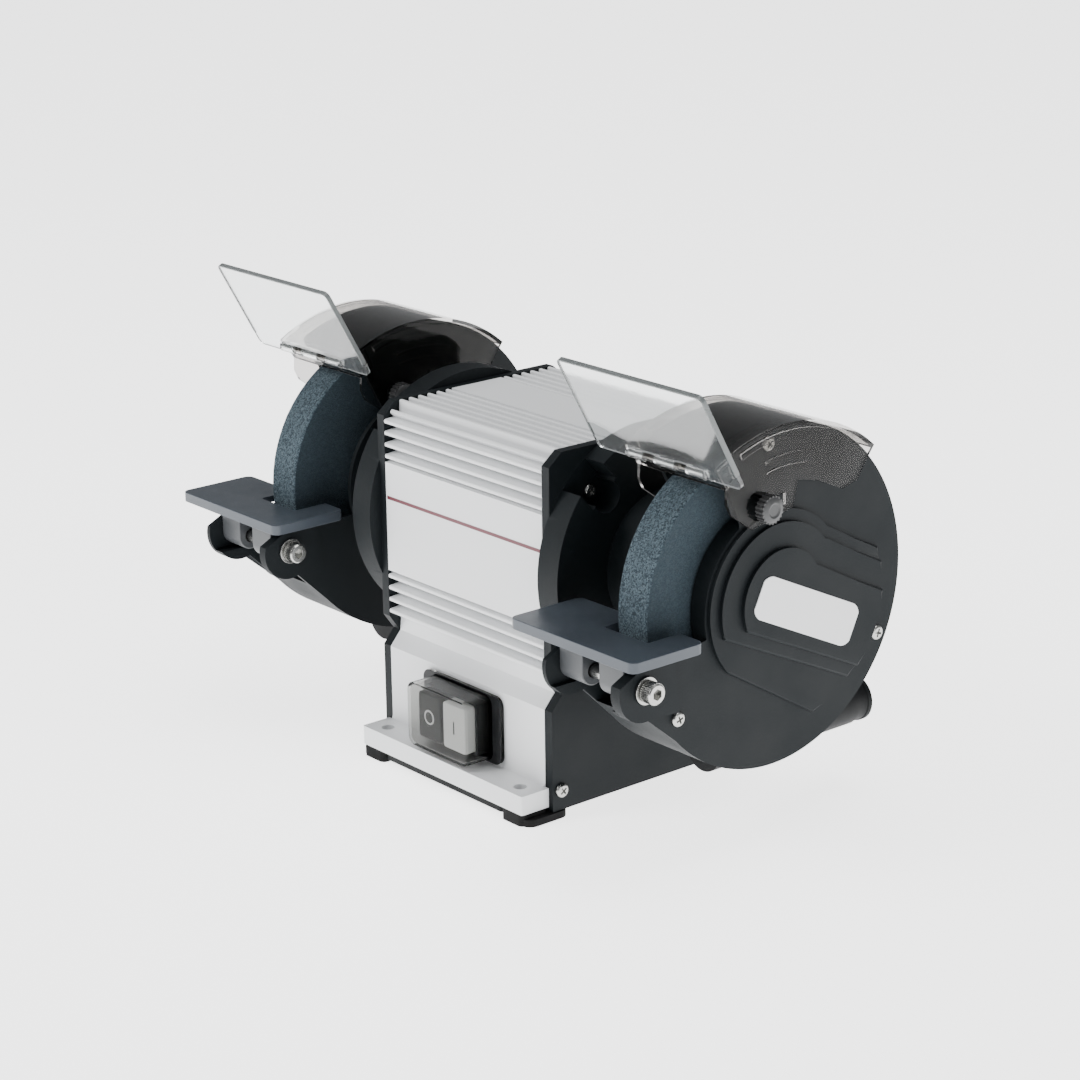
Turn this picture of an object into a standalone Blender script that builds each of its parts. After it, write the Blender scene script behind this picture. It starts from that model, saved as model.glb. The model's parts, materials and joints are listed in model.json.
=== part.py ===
"""Double-ended bench grinder, built piece by piece in metres, +Z up.

X runs along the spindle, -Y is the side the operator stands at, and the origin is on the
ground at the middle of the base.
"""
import math

import bmesh
import bpy
from mathutils import Vector

for old in list(bpy.data.objects):
    bpy.data.objects.remove(old, do_unlink=True)

# ---------------------------------------------------------------- driving sizes
GAP = 0.0003                    # clearance between pieces that touch
RUN = 0.0005                    # clearance round a turning or sliding piece

WHEEL_RADIUS = 0.0875
WHEEL_WIDTH = 0.025
WHEEL_BORE = 0.016              # radius
WHEEL_REACH = 0.0940            # from the housing's end to each wheel's middle plane
SPINDLE_HEIGHT = 0.154

HOUSING_LENGTH = 0.152
HOUSING_WIDTH = 0.148
HOUSING_TOP = 0.0755            # above the spindle
HOUSING_UNDERSIDE = 0.0645      # below the spindle, where the lowest fin ends
TOP_CHAMFER_WIDTH = 0.010
TOP_CHAMFER_HEIGHT = 0.008
FIN_DEPTH = 0.009
FIN_TIP = 0.0024
FIN_ROOT = 0.0044
TOP_FINS = 6
TOP_PANEL_HALF = 0.020
UPPER_FINS = 4
UPPER_FINS_SPAN = 0.0300
LOWER_FINS = 4
LOWER_FINS_SPAN = 0.0310
NECK_DEPTH = 0.0080
NECK_HEIGHT = 0.0785            # above the ground
PEDESTAL_TOP = 0.0694
STATOR_BORE = 0.0600
PEDESTAL_WALL = 0.0050
PEDESTAL_ROOF = 0.0840

FLANGE_BOTTOM = 0.0076
FLANGE_THICK = 0.0122
FLANGE_REACH = 0.0955           # from the middle to the flange's front edge
FLANGE_OVERHANG = 0.0035        # past the housing at each end
FLANGE_HOLE = 0.0042
FLANGE_HOLE_X = 0.066
FLANGE_HOLE_Y = 0.0855

COVER_PLATE = 0.0067
COVER_BOTTOM = 0.0050
DRUM_RADIUS = 0.0830
DRUM_LENGTH = 0.0170
POCKET_RADIUS = 0.0650          # ring of the end cover's upper screws
POCKET_ANGLE = 47.5
POCKET_WIDTH = 0.0240
POCKET_FLOOR = 0.0585
SPIGOT_LENGTH = 0.0060
SPIGOT_WALL = 0.0040
LOWER_SCREW_Y = 0.0675
LOWER_SCREW_Z = 0.0180

BEARING_OUTER = 0.0200
BEARING_INNER = 0.0085
BEARING_WIDTH = 0.0120
SHAFT_MIDDLE = 0.0110
SHAFT_END = 0.0080
STATOR_LENGTH = 0.0640
STATOR_INNER = 0.0350
WINDING_LENGTH = 0.0220
AIR_GAP = 0.0007

GUARD_CLEARANCE = 0.0155        # between the wheel's edge and the guard's outside
GUARD_WALL = 0.0032
GUARD_INSIDE_FACE = 0.0300      # from the wheel's middle to the motor side of the guard
GUARD_OUTSIDE_FACE = 0.0255     # from the wheel's middle to the guard cover's face
GUARD_LIP = 0.0060              # depth of the cover's rim
GUARD_HUB = 0.0450
GUARD_HUB_WALL = 0.0060
GUARD_CUT_RADIUS = 0.0550
GUARD_CUT_TOP = 118.0           # degrees round the spindle from the back (+Y)
GUARD_CUT_DROP = 0.0160         # lower edge of the opening, below the spindle
RIM_END = -138.0
RIM_FLAT = 0.0160               # straight end of the rim, running up to the ear
COVER_SCREWS = (216.0, -26.0, 95.0)
COVER_SCREW_INSET = 0.0090
RELIEF_TILT = -25.0
RELIEF_REACH = 0.0840
RELIEF = ((0.0530, 0.0470, 0.0580, 0.0025), (0.0460, 0.0400, 0.0320, 0.0050), (0.0310, 0.0240, 0.0240, 0.0075))
FLANGE_DISC = 0.0400
FLANGE_DISC_THICK = 0.0048

BOLT_RADIUS = 0.0040
BOLT_AHEAD = 0.0195             # of the wheel's edge
BOLT_DROP = 0.0280              # below the spindle
EAR_RADIUS = 0.0190
EAR_FACE = 0.0332               # from the wheel's middle to each ear's outside
LUG_RADIUS = 0.0090
LUG_SPANS = ((-0.0297, -0.0097), (0.0043, 0.0253))
REST_DROP = 0.0078              # top of the rest, below the spindle
REST_THICK = 0.0065
REST_LEFT = 0.0678              # from the wheel's middle
REST_RIGHT = 0.0391
REST_GAP = 0.0045               # between the wheel and the rest
REST_REACH = 0.0295
REST_WRAP = 0.0246
REST_NOTCH_SIDE = 0.0060

HOOD_GAP = 0.0008
HOOD_WALL = 0.0022
HOOD_LEFT = 0.0397              # from the wheel's middle plane
HOOD_RIGHT = 0.0353
HOOD_BACK = 49.0
HOOD_FRONT = 122.0
HOOD_FRONT_DEPTH = 0.0170
HOOD_LUGS = ((-0.0175, -0.0090), (0.0090, 0.0175))
KNOB_ANGLE = 106.8
KNOB_RING = 0.0622
KNOB_RADIUS = 0.0085
KNOB_STEM = 0.0030
HOOD_FORWARD = 12.0             # degrees the hood can be set forward as the wheel wears
HOOD_BACKWARD = 2.0
SHIELD_WIDTH = 0.1200
SHIELD_HEIGHT = 0.0660
SHIELD_THICK = 0.0030
SHIELD_ANGLE = 119.0
SHIELD_BELOW_PIN = 0.0035
SHIELD_LUGS = ((-0.0320, -0.0180), (-0.0085, 0.0085), (0.0180, 0.0320))
PIN_FORWARD = 0.0045
PIN_RADIUS = 0.0015
BARREL_RADIUS = 0.0036

SPOUT_RADIUS = 0.0145
SPOUT_WALL = 0.0022
SPOUT_DROP = 0.0995             # below the spindle
SPOUT_FRONT = -0.0200
SPOUT_END = 0.1090
SPOUT_SHIFT = 0.0130            # from the wheel's middle towards the motor

SWITCH_WIDTH = 0.0590
SWITCH_HEIGHT = 0.0420
SWITCH_FRAME = 0.0760
SWITCH_CENTRE_Z = 0.0440
BOOT_FRONT = 0.0970
BOOT_WALL = 0.0015
BUTTON_WIDTH = 0.0215
BUTTON_HEIGHT = 0.0300
BUTTON_FACE = 0.0930
BUTTON_TRAVEL = 0.0040

FOOT_LENGTH = 0.0245
FOOT_DEPTH = 0.0345
BASE_SHEET_BOTTOM = 0.0025

# ---------------------------------------------------------------- places worked out
HALF_LENGTH = HOUSING_LENGTH / 2
HALF_WIDTH = HOUSING_WIDTH / 2
WHEEL_X = HALF_LENGTH + WHEEL_REACH
WHEEL_SPACING = 2 * WHEEL_X
COVER_IN = HALF_LENGTH + GAP
COVER_OUT = COVER_IN + COVER_PLATE
DRUM_FACE = COVER_OUT + DRUM_LENGTH
GUARD_RADIUS = WHEEL_RADIUS + GUARD_CLEARANCE
BOLT_Y = -(WHEEL_RADIUS + BOLT_AHEAD)
BOLT_Z = SPINDLE_HEIGHT - BOLT_DROP
REST_TOP = SPINDLE_HEIGHT - REST_DROP
GUARD_CUT_BOTTOM = 180.0 + math.degrees(math.asin(GUARD_CUT_DROP / GUARD_CUT_RADIUS))
HOOD_INNER = GUARD_RADIUS + HOOD_GAP
HOOD_OUTER = HOOD_INNER + HOOD_WALL
FLANGE_TOP = FLANGE_BOTTOM + FLANGE_THICK

WHITE = ("aluminium_white", (0.80, 0.82, 0.84), 0.42, 0.0)
DARK = ("cast_anthracite", (0.030, 0.036, 0.040), 0.50, 0.0)
BLACK = ("black_casting", (0.014, 0.016, 0.018), 0.55, 0.0)
RUBBER = ("rubber", (0.012, 0.012, 0.013), 0.85, 0.0)
GRIT = ("grinding_grit", (0.075, 0.125, 0.165), 0.95, 0.0)
REST_GREY = ("rest_blue_grey", (0.10, 0.135, 0.18), 0.45, 0.0)
STEEL = ("bright_steel", (0.62, 0.62, 0.60), 0.28, 1.0)
COPPER = ("copper_winding", (0.50, 0.20, 0.07), 0.45, 0.6)
LAMINATION = ("lamination", (0.22, 0.22, 0.23), 0.50, 0.9)
CLEAR = ("clear_plastic", (0.75, 0.78, 0.78), 0.10, 0.0)
SMOKE = ("smoked_plastic", (0.30, 0.29, 0.27), 0.12, 0.0)
SWITCH_DARK = ("switch_dark", (0.03, 0.04, 0.045), 0.45, 0.0)
SWITCH_WHITE = ("switch_white", (0.75, 0.76, 0.77), 0.40, 0.0)


# ---------------------------------------------------------------- modelling tools
def finish(spec):
    """One Principled material for each finish, shared by its pieces."""
    name, colour, roughness, metallic = spec
    material = bpy.data.materials.get(name)
    if material is None:
        material = bpy.data.materials.new(name)
        material.use_nodes = True
        shader = material.node_tree.nodes["Principled BSDF"]
        shader.inputs["Base Color"].default_value = (*colour, 1.0)
        shader.inputs["Roughness"].default_value = roughness
        shader.inputs["Metallic"].default_value = metallic
    return material


def place(name, shape, spec=None, origin=(0.0, 0.0, 0.0)):
    """Turn a bmesh into a named object; without a finish it is a hidden helper."""
    bmesh.ops.recalc_face_normals(shape, faces=shape.faces[:])
    bmesh.ops.translate(shape, verts=shape.verts[:], vec=-Vector(origin))
    mesh = bpy.data.meshes.new(name)
    shape.to_mesh(mesh)
    shape.free()
    piece = bpy.data.objects.new(name, mesh)
    piece.location = origin
    bpy.context.scene.collection.objects.link(piece)
    if spec is None:
        piece.hide_render = True
        piece.display_type = "WIRE"
    else:
        mesh.materials.append(finish(spec))
        mesh.shade_smooth()
        mesh.set_sharp_from_angle(angle=math.radians(35))
    return piece


def combine(piece, tool, operation):
    """Live Boolean of a hidden helper on a piece."""
    modifier = piece.modifiers.new(tool.name, "BOOLEAN")
    modifier.operation = operation
    modifier.solver = "EXACT"
    modifier.object = tool
    return piece


def cut(piece, tool):
    return combine(piece, tool, "DIFFERENCE")


def add(piece, tool):
    return combine(piece, tool, "UNION")


def prism(outline, start, end, axis="X"):
    """Closed outline extruded from start to end; X uses (y, z), Y uses (x, z), Z uses (x, y)."""
    order = {"X": (2, 0, 1), "Y": (0, 2, 1), "Z": (0, 1, 2)}[axis]
    shape = bmesh.new()
    rings = []
    for level in (start, end):
        ring = []
        for a, b in outline:
            values = (a, b, level)
            ring.append(shape.verts.new(tuple(values[i] for i in order)))
        rings.append(ring)
    shape.faces.new(rings[0])
    shape.faces.new(rings[1])
    count = len(outline)
    for i in range(count):
        j = (i + 1) % count
        shape.faces.new((rings[0][i], rings[0][j], rings[1][j], rings[1][i]))
    return shape


def turned(profile, centre, steps=64, axis="X"):
    """Closed (along, radius) profile turned round an axis through centre; radius 0 closes."""
    shape = bmesh.new()
    rings = []
    for along, radius in profile:
        count = 1 if radius < 1e-7 else steps
        ring = []
        for i in range(count):
            angle = math.tau * i / steps
            a = centre[0] + radius * math.cos(angle)
            b = centre[1] + radius * math.sin(angle)
            point = {"X": (along, a, b), "Y": (a, along, b), "Z": (a, b, along)}[axis]
            ring.append(shape.verts.new(point))
        rings.append(ring)
    for first, second in zip(rings, rings[1:] + rings[:1]):
        if len(first) == 1 and len(second) == 1:
            continue
        for i in range(steps):
            j = (i + 1) % steps
            if len(first) == 1:
                shape.faces.new((first[0], second[i], second[j]))
            elif len(second) == 1:
                shape.faces.new((first[i], first[j], second[0]))
            else:
                shape.faces.new((first[i], first[j], second[j], second[i]))
    return shape


def rod(start, end, radius, centre, steps=24, axis="X"):
    return turned([(start, 0.0), (start, radius), (end, radius), (end, 0.0)], centre, steps, axis)


def ring(start, end, inner, outer, centre, steps=64, axis="X"):
    profile = [(start, inner), (start, outer), (end, outer), (end, inner)]
    return turned(profile, centre, steps, axis)


def block(low, high, radius=0.0, axis="Z", steps=4):
    """Box from low to high, its corners rounded in the plane across the given axis."""
    i, j, k = {"X": (1, 2, 0), "Y": (0, 2, 1), "Z": (0, 1, 2)}[axis]
    return prism(rounded((low[i], low[j]), (high[i], high[j]), radius, steps), low[k], high[k], axis)


def rounded(low, high, radius, steps=4):
    """Rectangle outline with equal rounded corners."""
    if radius <= 0.0:
        return [(low[0], low[1]), (high[0], low[1]), (high[0], high[1]), (low[0], high[1])]
    points = []
    corners = ((high[0] - radius, low[1] + radius, -90), (high[0] - radius, high[1] - radius, 0),
               (low[0] + radius, high[1] - radius, 90), (low[0] + radius, low[1] + radius, 180))
    for a, b, start in corners:
        for i in range(steps + 1):
            angle = math.radians(start + 90 * i / steps)
            points.append((a + radius * math.cos(angle), b + radius * math.sin(angle)))
    return points


def arc(radius, start, end, centre=(0.0, SPINDLE_HEIGHT), step=6.0):
    """Points of an arc in the (y, z) plane, angles in degrees from +Y towards +Z."""
    count = max(2, int(abs(end - start) / step) + 1)
    points = []
    for i in range(count):
        angle = math.radians(start + (end - start) * i / (count - 1))
        points.append((centre[0] + radius * math.cos(angle), centre[1] + radius * math.sin(angle)))
    return points


def sector(inner, outer, start, end, step=5.0):
    return arc(outer, start, end, step=step) + arc(inner, end, start, step=step)


def polar(radius, degrees):
    angle = math.radians(degrees)
    return radius * math.cos(angle), SPINDLE_HEIGHT + radius * math.sin(angle)


AXIS = (0.0, SPINDLE_HEIGHT)
BOLT = (BOLT_Y, BOLT_Z)


# ---------------------------------------------------------------- motor housing and base
def fins(start, step, count):
    """Tooth corners along an edge: (along, depth below the crest)."""
    points = []
    for i in range(count):
        middle = start + step * (i + 0.5)
        sign = math.copysign(1.0, step)
        points += [(middle - sign * FIN_ROOT / 2, FIN_DEPTH), (middle - sign * FIN_TIP / 2, 0.0),
                   (middle + sign * FIN_TIP / 2, 0.0), (middle + sign * FIN_ROOT / 2, FIN_DEPTH)]
    return points


def housing_half():
    """Front half of the housing's section, as (distance from the middle, height)."""
    top = SPINDLE_HEIGHT + HOUSING_TOP
    edge = HALF_WIDTH - TOP_CHAMFER_WIDTH
    shoulder = top - TOP_CHAMFER_HEIGHT
    top_step = (edge - TOP_PANEL_HALF) / TOP_FINS
    points = [(TOP_PANEL_HALF - FIN_ROOT / 2, top)]
    points += [(y, top - depth) for y, depth in fins(TOP_PANEL_HALF, top_step, TOP_FINS)]
    points += [(edge, top - FIN_DEPTH), (HALF_WIDTH - FIN_DEPTH, shoulder - FIN_TIP)]
    upper_step = -UPPER_FINS_SPAN / UPPER_FINS
    points += [(HALF_WIDTH - depth, z) for z, depth in fins(shoulder, upper_step, UPPER_FINS)]
    panel_top = shoulder - UPPER_FINS_SPAN
    underside = SPINDLE_HEIGHT - HOUSING_UNDERSIDE
    panel_bottom = underside + LOWER_FINS_SPAN
    points += [(HALF_WIDTH - FIN_DEPTH, panel_top), (HALF_WIDTH, panel_top)]
    points += [(HALF_WIDTH, panel_bottom), (HALF_WIDTH - FIN_DEPTH, panel_bottom)]
    lower_step = -LOWER_FINS_SPAN / LOWER_FINS
    lower = [(HALF_WIDTH - depth, z) for z, depth in fins(panel_bottom, lower_step, LOWER_FINS)]
    points += lower[:-1]
    points += [(HALF_WIDTH - NECK_DEPTH, NECK_HEIGHT), (HALF_WIDTH, PEDESTAL_TOP)]
    points += [(HALF_WIDTH, FLANGE_BOTTOM)]
    return points


def both_halves(half):
    return [(-y, z) for y, z in half] + [(y, z) for y, z in reversed(half)]


def build_housing():
    body = place("motor_housing", prism(both_halves(housing_half()), -HALF_LENGTH, HALF_LENGTH), WHITE)
    flange_end = HALF_LENGTH + FLANGE_OVERHANG
    for side, label in ((-1, "front"), (1, "rear")):
        inner = side * (HALF_WIDTH - PEDESTAL_WALL)
        outer = side * FLANGE_REACH
        rail = block((-flange_end, min(inner, outer), FLANGE_BOTTOM),
                     (flange_end, max(inner, outer), FLANGE_TOP), 0.0)
        rail_piece = place("rail_" + label, rail)
        for end in (-1, 1):
            step = block((end * (HALF_LENGTH + FLANGE_OVERHANG / 2) - FLANGE_OVERHANG / 2 - GAP / 2,
                          min(side * (HALF_WIDTH - 0.02), side * (HALF_WIDTH + GAP)), 0.0),
                         (end * (HALF_LENGTH + FLANGE_OVERHANG / 2) + FLANGE_OVERHANG / 2 + GAP / 2,
                          max(side * (HALF_WIDTH - 0.02), side * (HALF_WIDTH + GAP)), 0.03))
            cut(rail_piece, place(f"rail_step_{label}_{end}", step))
        add(body, rail_piece)
    cut(body, place("stator_bore", rod(-0.2, 0.2, STATOR_BORE, AXIS, 96)))
    inside = HALF_WIDTH - PEDESTAL_WALL
    cavity = prism([(-inside, 0.0), (inside, 0.0), (inside, PEDESTAL_TOP - 0.004),
                    (inside - NECK_DEPTH, PEDESTAL_ROOF), (-inside + NECK_DEPTH, PEDESTAL_ROOF),
                    (-inside, PEDESTAL_TOP - 0.004)], -0.2, 0.2)
    cut(body, place("pedestal_cavity", cavity))
    cut(body, place("lead_hole", rod(PEDESTAL_ROOF - 0.01, SPINDLE_HEIGHT, 0.006, (0.0, 0.0), 16, "Z")))
    window = block((-SWITCH_WIDTH / 2 + 0.003, -HALF_WIDTH - 0.01, SWITCH_CENTRE_Z - SWITCH_HEIGHT / 2 + 0.003),
                   (SWITCH_WIDTH / 2 - 0.003, 0.0, SWITCH_CENTRE_Z + SWITCH_HEIGHT / 2 - 0.003), 0.0)
    cut(body, place("switch_window", window))
    cut(body, place("gland_hole", rod(0.0, HALF_WIDTH + 0.01, GLAND_THREAD + RUN, GLAND_PLACE, 24, "Y")))
    for x in (-FLANGE_HOLE_X, FLANGE_HOLE_X):
        for y in (-FLANGE_HOLE_Y, FLANGE_HOLE_Y):
            hole = rod(0.0, FLANGE_TOP + 0.01, FLANGE_HOLE, (x, y), 20, "Z")
            cut(body, place(f"flange_hole_{x:+.3f}_{y:+.3f}", hole))
    return body


GLAND_THREAD = 0.0080
GLAND_PLACE = (-0.040, 0.042)


def build_base():
    sheet_end = HALF_LENGTH + FLANGE_OVERHANG - FOOT_LENGTH + FLANGE_OVERHANG
    sheet = block((-sheet_end, -FLANGE_REACH + 0.002, BASE_SHEET_BOTTOM),
                  (sheet_end, FLANGE_REACH - 0.002, FLANGE_BOTTOM - GAP))
    place("base_sheet", sheet, BLACK)
    for sx, end in ((-1, "left"), (1, "right")):
        for sy, side in ((-1, "front"), (1, "rear")):
            foot_in = sheet_end + GAP
            foot_out = COVER_OUT + 0.001
            tall = block((min(sx * foot_in, sx * (HALF_LENGTH + FLANGE_OVERHANG)),
                          min(sy * (HALF_WIDTH + 2 * GAP), sy * FLANGE_REACH), 0.0),
                         (max(sx * foot_in, sx * (HALF_LENGTH + FLANGE_OVERHANG)),
                          max(sy * (HALF_WIDTH + 2 * GAP), sy * FLANGE_REACH), FLANGE_BOTTOM - GAP),
                         0.003)
            low = block((min(sx * foot_in, sx * foot_out),
                         min(sy * (FLANGE_REACH - FOOT_DEPTH), sy * (FLANGE_REACH - 0.0015)), 0.0),
                        (max(sx * foot_in, sx * foot_out),
                         max(sy * (FLANGE_REACH - FOOT_DEPTH), sy * (FLANGE_REACH - 0.0015)),
                         COVER_BOTTOM - GAP), 0.006)
            foot = place(f"foot_{side}_{end}", tall, RUBBER)
            add(foot, place(f"foot_pad_{side}_{end}", low))


def cover_half():
    """Outline of an end cover, a little proud of the housing all round."""
    top = SPINDLE_HEIGHT + HOUSING_TOP
    shoulder = top - TOP_CHAMFER_HEIGHT
    underside = SPINDLE_HEIGHT - HOUSING_UNDERSIDE
    return [(HALF_WIDTH - TOP_CHAMFER_WIDTH, top), (HALF_WIDTH, shoulder), (HALF_WIDTH, underside),
            (HALF_WIDTH - NECK_DEPTH, NECK_HEIGHT), (HALF_WIDTH, PEDESTAL_TOP), (HALF_WIDTH, COVER_BOTTOM)]


def span(a, b):
    return (min(a, b), max(a, b))


def mirrored(profile, sign):
    return [(sign * along, radius) for along, radius in profile]


def turn_outline(outline, degrees):
    """Outline given as (outwards, sideways), turned about the spindle."""
    c, s = math.cos(math.radians(degrees)), math.sin(math.radians(degrees))
    return [(a * c - b * s, SPINDLE_HEIGHT + a * s + b * c) for a, b in outline]


def build_end_cover(sign, side):
    plate = place("end_cover_" + side, prism(both_halves(cover_half()),
                                             *span(sign * COVER_IN, sign * COVER_OUT)), DARK)
    cut(plate, place("plate_hole_" + side, rod(-0.2, 0.2, STATOR_BORE + 0.002, AXIS, 40)))
    spigot_in = STATOR_BORE - GAP - SPIGOT_WALL
    hollow_end = DRUM_FACE - 0.004
    seat_end = BEARING_FACE - BEARING_WIDTH - 0.001
    drum = [(COVER_IN - SPIGOT_LENGTH, spigot_in), (COVER_IN - SPIGOT_LENGTH, STATOR_BORE - GAP),
            (COVER_IN + 0.002, STATOR_BORE - GAP), (COVER_IN + 0.002, DRUM_RADIUS - 0.013),
            (COVER_OUT - 0.001, DRUM_RADIUS - 0.013), (COVER_OUT - 0.001, DRUM_RADIUS),
            (DRUM_FACE, DRUM_RADIUS), (DRUM_FACE, SHAFT_SHOULDER + 0.002),
            (BEARING_FACE + GAP, SHAFT_SHOULDER + 0.002), (BEARING_FACE + GAP, BEARING_OUTER + GAP),
            (seat_end, BEARING_OUTER + GAP), (seat_end, BEARING_OUTER + 0.005),
            (hollow_end, BEARING_OUTER + 0.005), (hollow_end, spigot_in)]
    add(plate, place("drum_" + side, turned(mirrored(drum, sign), AXIS, 44)))
    pocket = [(POCKET_FLOOR, -POCKET_WIDTH / 2), (0.12, -POCKET_WIDTH / 2),
              (0.12, POCKET_WIDTH / 2), (POCKET_FLOOR, POCKET_WIDTH / 2)]
    for turn, label in ((POCKET_ANGLE, "rear"), (180 - POCKET_ANGLE, "front")):
        notch = prism(turn_outline(pocket, turn), *span(sign * (COVER_OUT + 0.0003), sign * (DRUM_FACE + 0.01)))
        cut(plate, place(f"pocket_{side}_{label}", notch))
        screw_hole = rod(-0.2, 0.2, 0.0026, polar(POCKET_RADIUS, turn), 10)
        cut(plate, place(f"screw_hole_{side}_{label}", screw_hole))
    for y, label in ((-LOWER_SCREW_Y, "front"), (LOWER_SCREW_Y, "rear")):
        lower_hole = rod(-0.2, 0.2, 0.0026, (y, LOWER_SCREW_Z), 10)
        cut(plate, place(f"lower_hole_{side}_{label}", lower_hole))
    return plate


BEARING_FACE = DRUM_FACE - 0.004
SHAFT_SHOULDER = BEARING_INNER + 0.0015


# ---------------------------------------------------------------- motor and spindle
def build_motor():
    half = STATOR_LENGTH / 2
    core = place("stator_core", ring(-half, half, STATOR_INNER, STATOR_BORE - GAP, AXIS, 48), LAMINATION)
    for slot in range(12):
        turn = math.radians(30 * slot + 15)
        outline = [(STATOR_INNER - 0.002, -0.002), (STATOR_INNER + 0.014, -0.004),
                   (STATOR_INNER + 0.014, 0.004), (STATOR_INNER - 0.002, 0.002)]
        c, s = math.cos(turn), math.sin(turn)
        outline = [(a * c - b * s, SPINDLE_HEIGHT + a * s + b * c) for a, b in outline]
        cut(core, place(f"slot_{slot}", prism(outline, -half - 0.01, half + 0.01)))
    for sign, side in ((-1, "left"), (1, "right")):
        near, far = half + GAP, half + GAP + WINDING_LENGTH
        profile = [(near, STATOR_INNER + 0.002), (near, STATOR_INNER + 0.019),
                   (far - 0.005, STATOR_INNER + 0.020), (far, STATOR_INNER + 0.015),
                   (far, STATOR_INNER + 0.007), (far - 0.005, STATOR_INNER + 0.002)]
        place("winding_" + side, turned(mirrored(profile, sign), AXIS, 24), COPPER)
        outer = [(BEARING_FACE - BEARING_WIDTH, BEARING_OUTER - 0.004),
                 (BEARING_FACE - BEARING_WIDTH, BEARING_OUTER),
                 (BEARING_FACE, BEARING_OUTER), (BEARING_FACE, BEARING_OUTER - 0.004)]
        place("bearing_outer_" + side, turned(mirrored(outer, sign), AXIS, 24), STEEL)
        inner = [(BEARING_FACE - BEARING_WIDTH, BEARING_INNER + GAP),
                 (BEARING_FACE - BEARING_WIDTH, BEARING_INNER + 0.004),
                 (BEARING_FACE, BEARING_INNER + 0.004), (BEARING_FACE, BEARING_INNER + GAP)]
        place("bearing_inner_" + side, turned(mirrored(inner, sign), AXIS, 20), STEEL)


FLANGE_INNER_FACE = WHEEL_X - WHEEL_WIDTH / 2 - GAP - FLANGE_DISC_THICK
FLANGE_OUTER_FACE = WHEEL_X + WHEEL_WIDTH / 2 + GAP + FLANGE_DISC_THICK
NUT_THICK = 0.0080
SPINDLE_END = FLANGE_OUTER_FACE + GAP + NUT_THICK + 0.0015


def build_spindle():
    shoulder = BEARING_FACE - BEARING_WIDTH - GAP
    half = [(shoulder, SHAFT_MIDDLE), (shoulder, BEARING_INNER), (FLANGE_INNER_FACE - GAP, BEARING_INNER),
            (FLANGE_INNER_FACE - GAP, SHAFT_END), (SPINDLE_END - 0.001, SHAFT_END),
            (SPINDLE_END, SHAFT_END - 0.001), (SPINDLE_END, 0.0)]
    profile = [(-x, r) for x, r in reversed(half)] + half
    place("spindle", turned(profile, AXIS, 24), STEEL, (0.0, *AXIS))
    rotor_half = STATOR_LENGTH / 2
    rotor = ring(-rotor_half, rotor_half, SHAFT_MIDDLE + GAP, STATOR_INNER - AIR_GAP, AXIS, 40)
    place("rotor_core", rotor, LAMINATION, (0.0, *AXIS))
    for sign, side in ((-1, "left"), (1, "right")):
        inner, outer = WHEEL_X - WHEEL_WIDTH / 2, WHEEL_X + WHEEL_WIDTH / 2
        wheel = [(inner, WHEEL_BORE), (inner, WHEEL_RADIUS - 0.0008), (inner + 0.0008, WHEEL_RADIUS),
                 (outer - 0.0008, WHEEL_RADIUS), (outer, WHEEL_RADIUS - 0.0008), (outer, WHEEL_BORE)]
        place("wheel_" + side, turned(mirrored(wheel, sign), AXIS, 60), GRIT, (0.0, *AXIS))
        spigot = WHEEL_WIDTH / 2 - GAP
        flange_in = [(FLANGE_INNER_FACE, SHAFT_END + GAP), (FLANGE_INNER_FACE, FLANGE_DISC - 0.006),
                     (FLANGE_INNER_FACE + 0.0012, FLANGE_DISC), (inner - GAP, FLANGE_DISC),
                     (inner - GAP, WHEEL_BORE - GAP), (inner + spigot, WHEEL_BORE - GAP),
                     (inner + spigot, SHAFT_END + GAP)]
        place("wheel_flange_inner_" + side, turned(mirrored(flange_in, sign), AXIS, 28),
              STEEL, (0.0, *AXIS))
        flange_out = [(2 * WHEEL_X - x, r) for x, r in flange_in]
        place("wheel_flange_outer_" + side, turned(mirrored(flange_out, sign), AXIS, 28),
              STEEL, (0.0, *AXIS))
        near = sign * (FLANGE_OUTER_FACE + GAP)
        nut = rod(*span(near, near + sign * NUT_THICK), 0.0138, AXIS, 6)
        nut_piece = place("spindle_nut_" + side, nut, STEEL, (0.0, *AXIS))
        cut(nut_piece, place("nut_bore_" + side, rod(-0.3, 0.3, SHAFT_END + GAP, AXIS, 20)))


# ---------------------------------------------------------------- guards
CUT_Z = SPINDLE_HEIGHT - GUARD_CUT_DROP


def wall_outline():
    """Guard wall in (y, z): a disc cut open at the operator's side, with an ear for the bolt."""
    points = arc(GUARD_RADIUS, GUARD_CUT_TOP, RIM_END)
    points += arc(EAR_RADIUS, -70.0, -195.0, BOLT, 14.0)
    points += [(BOLT_Y - 0.004, CUT_Z)]
    points += arc(GUARD_CUT_RADIUS, GUARD_CUT_BOTTOM, GUARD_CUT_TOP, step=8.0)
    return points


def rim_pocket():
    """Everything inside the rim, running out past the open front."""
    points = arc(GUARD_RADIUS - GUARD_WALL, GUARD_CUT_TOP, RIM_END)
    low = polar(GUARD_RADIUS, RIM_END)
    high = arc(EAR_RADIUS, -70.0, -195.0, BOLT, 14.0)[0]
    length = math.dist(low, high)
    along = ((high[0] - low[0]) / length, (high[1] - low[1]) / length)
    tip = (low[0] + along[0] * RIM_FLAT + along[1] * GUARD_WALL,
           low[1] + along[1] * RIM_FLAT - along[0] * GUARD_WALL)
    return points + [tip, (-0.2, tip[1]), (-0.2, points[0][1])]


def ear_outline():
    """Ear round the rest's bolt, running back on to the guard wall."""
    points = arc(EAR_RADIUS, -70.0, -195.0, BOLT, 14.0)
    return points + [(BOLT_Y - 0.004, CUT_Z), (BOLT_Y + 0.022, CUT_Z), (BOLT_Y + 0.026, BOLT_Z - 0.020)]


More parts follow.
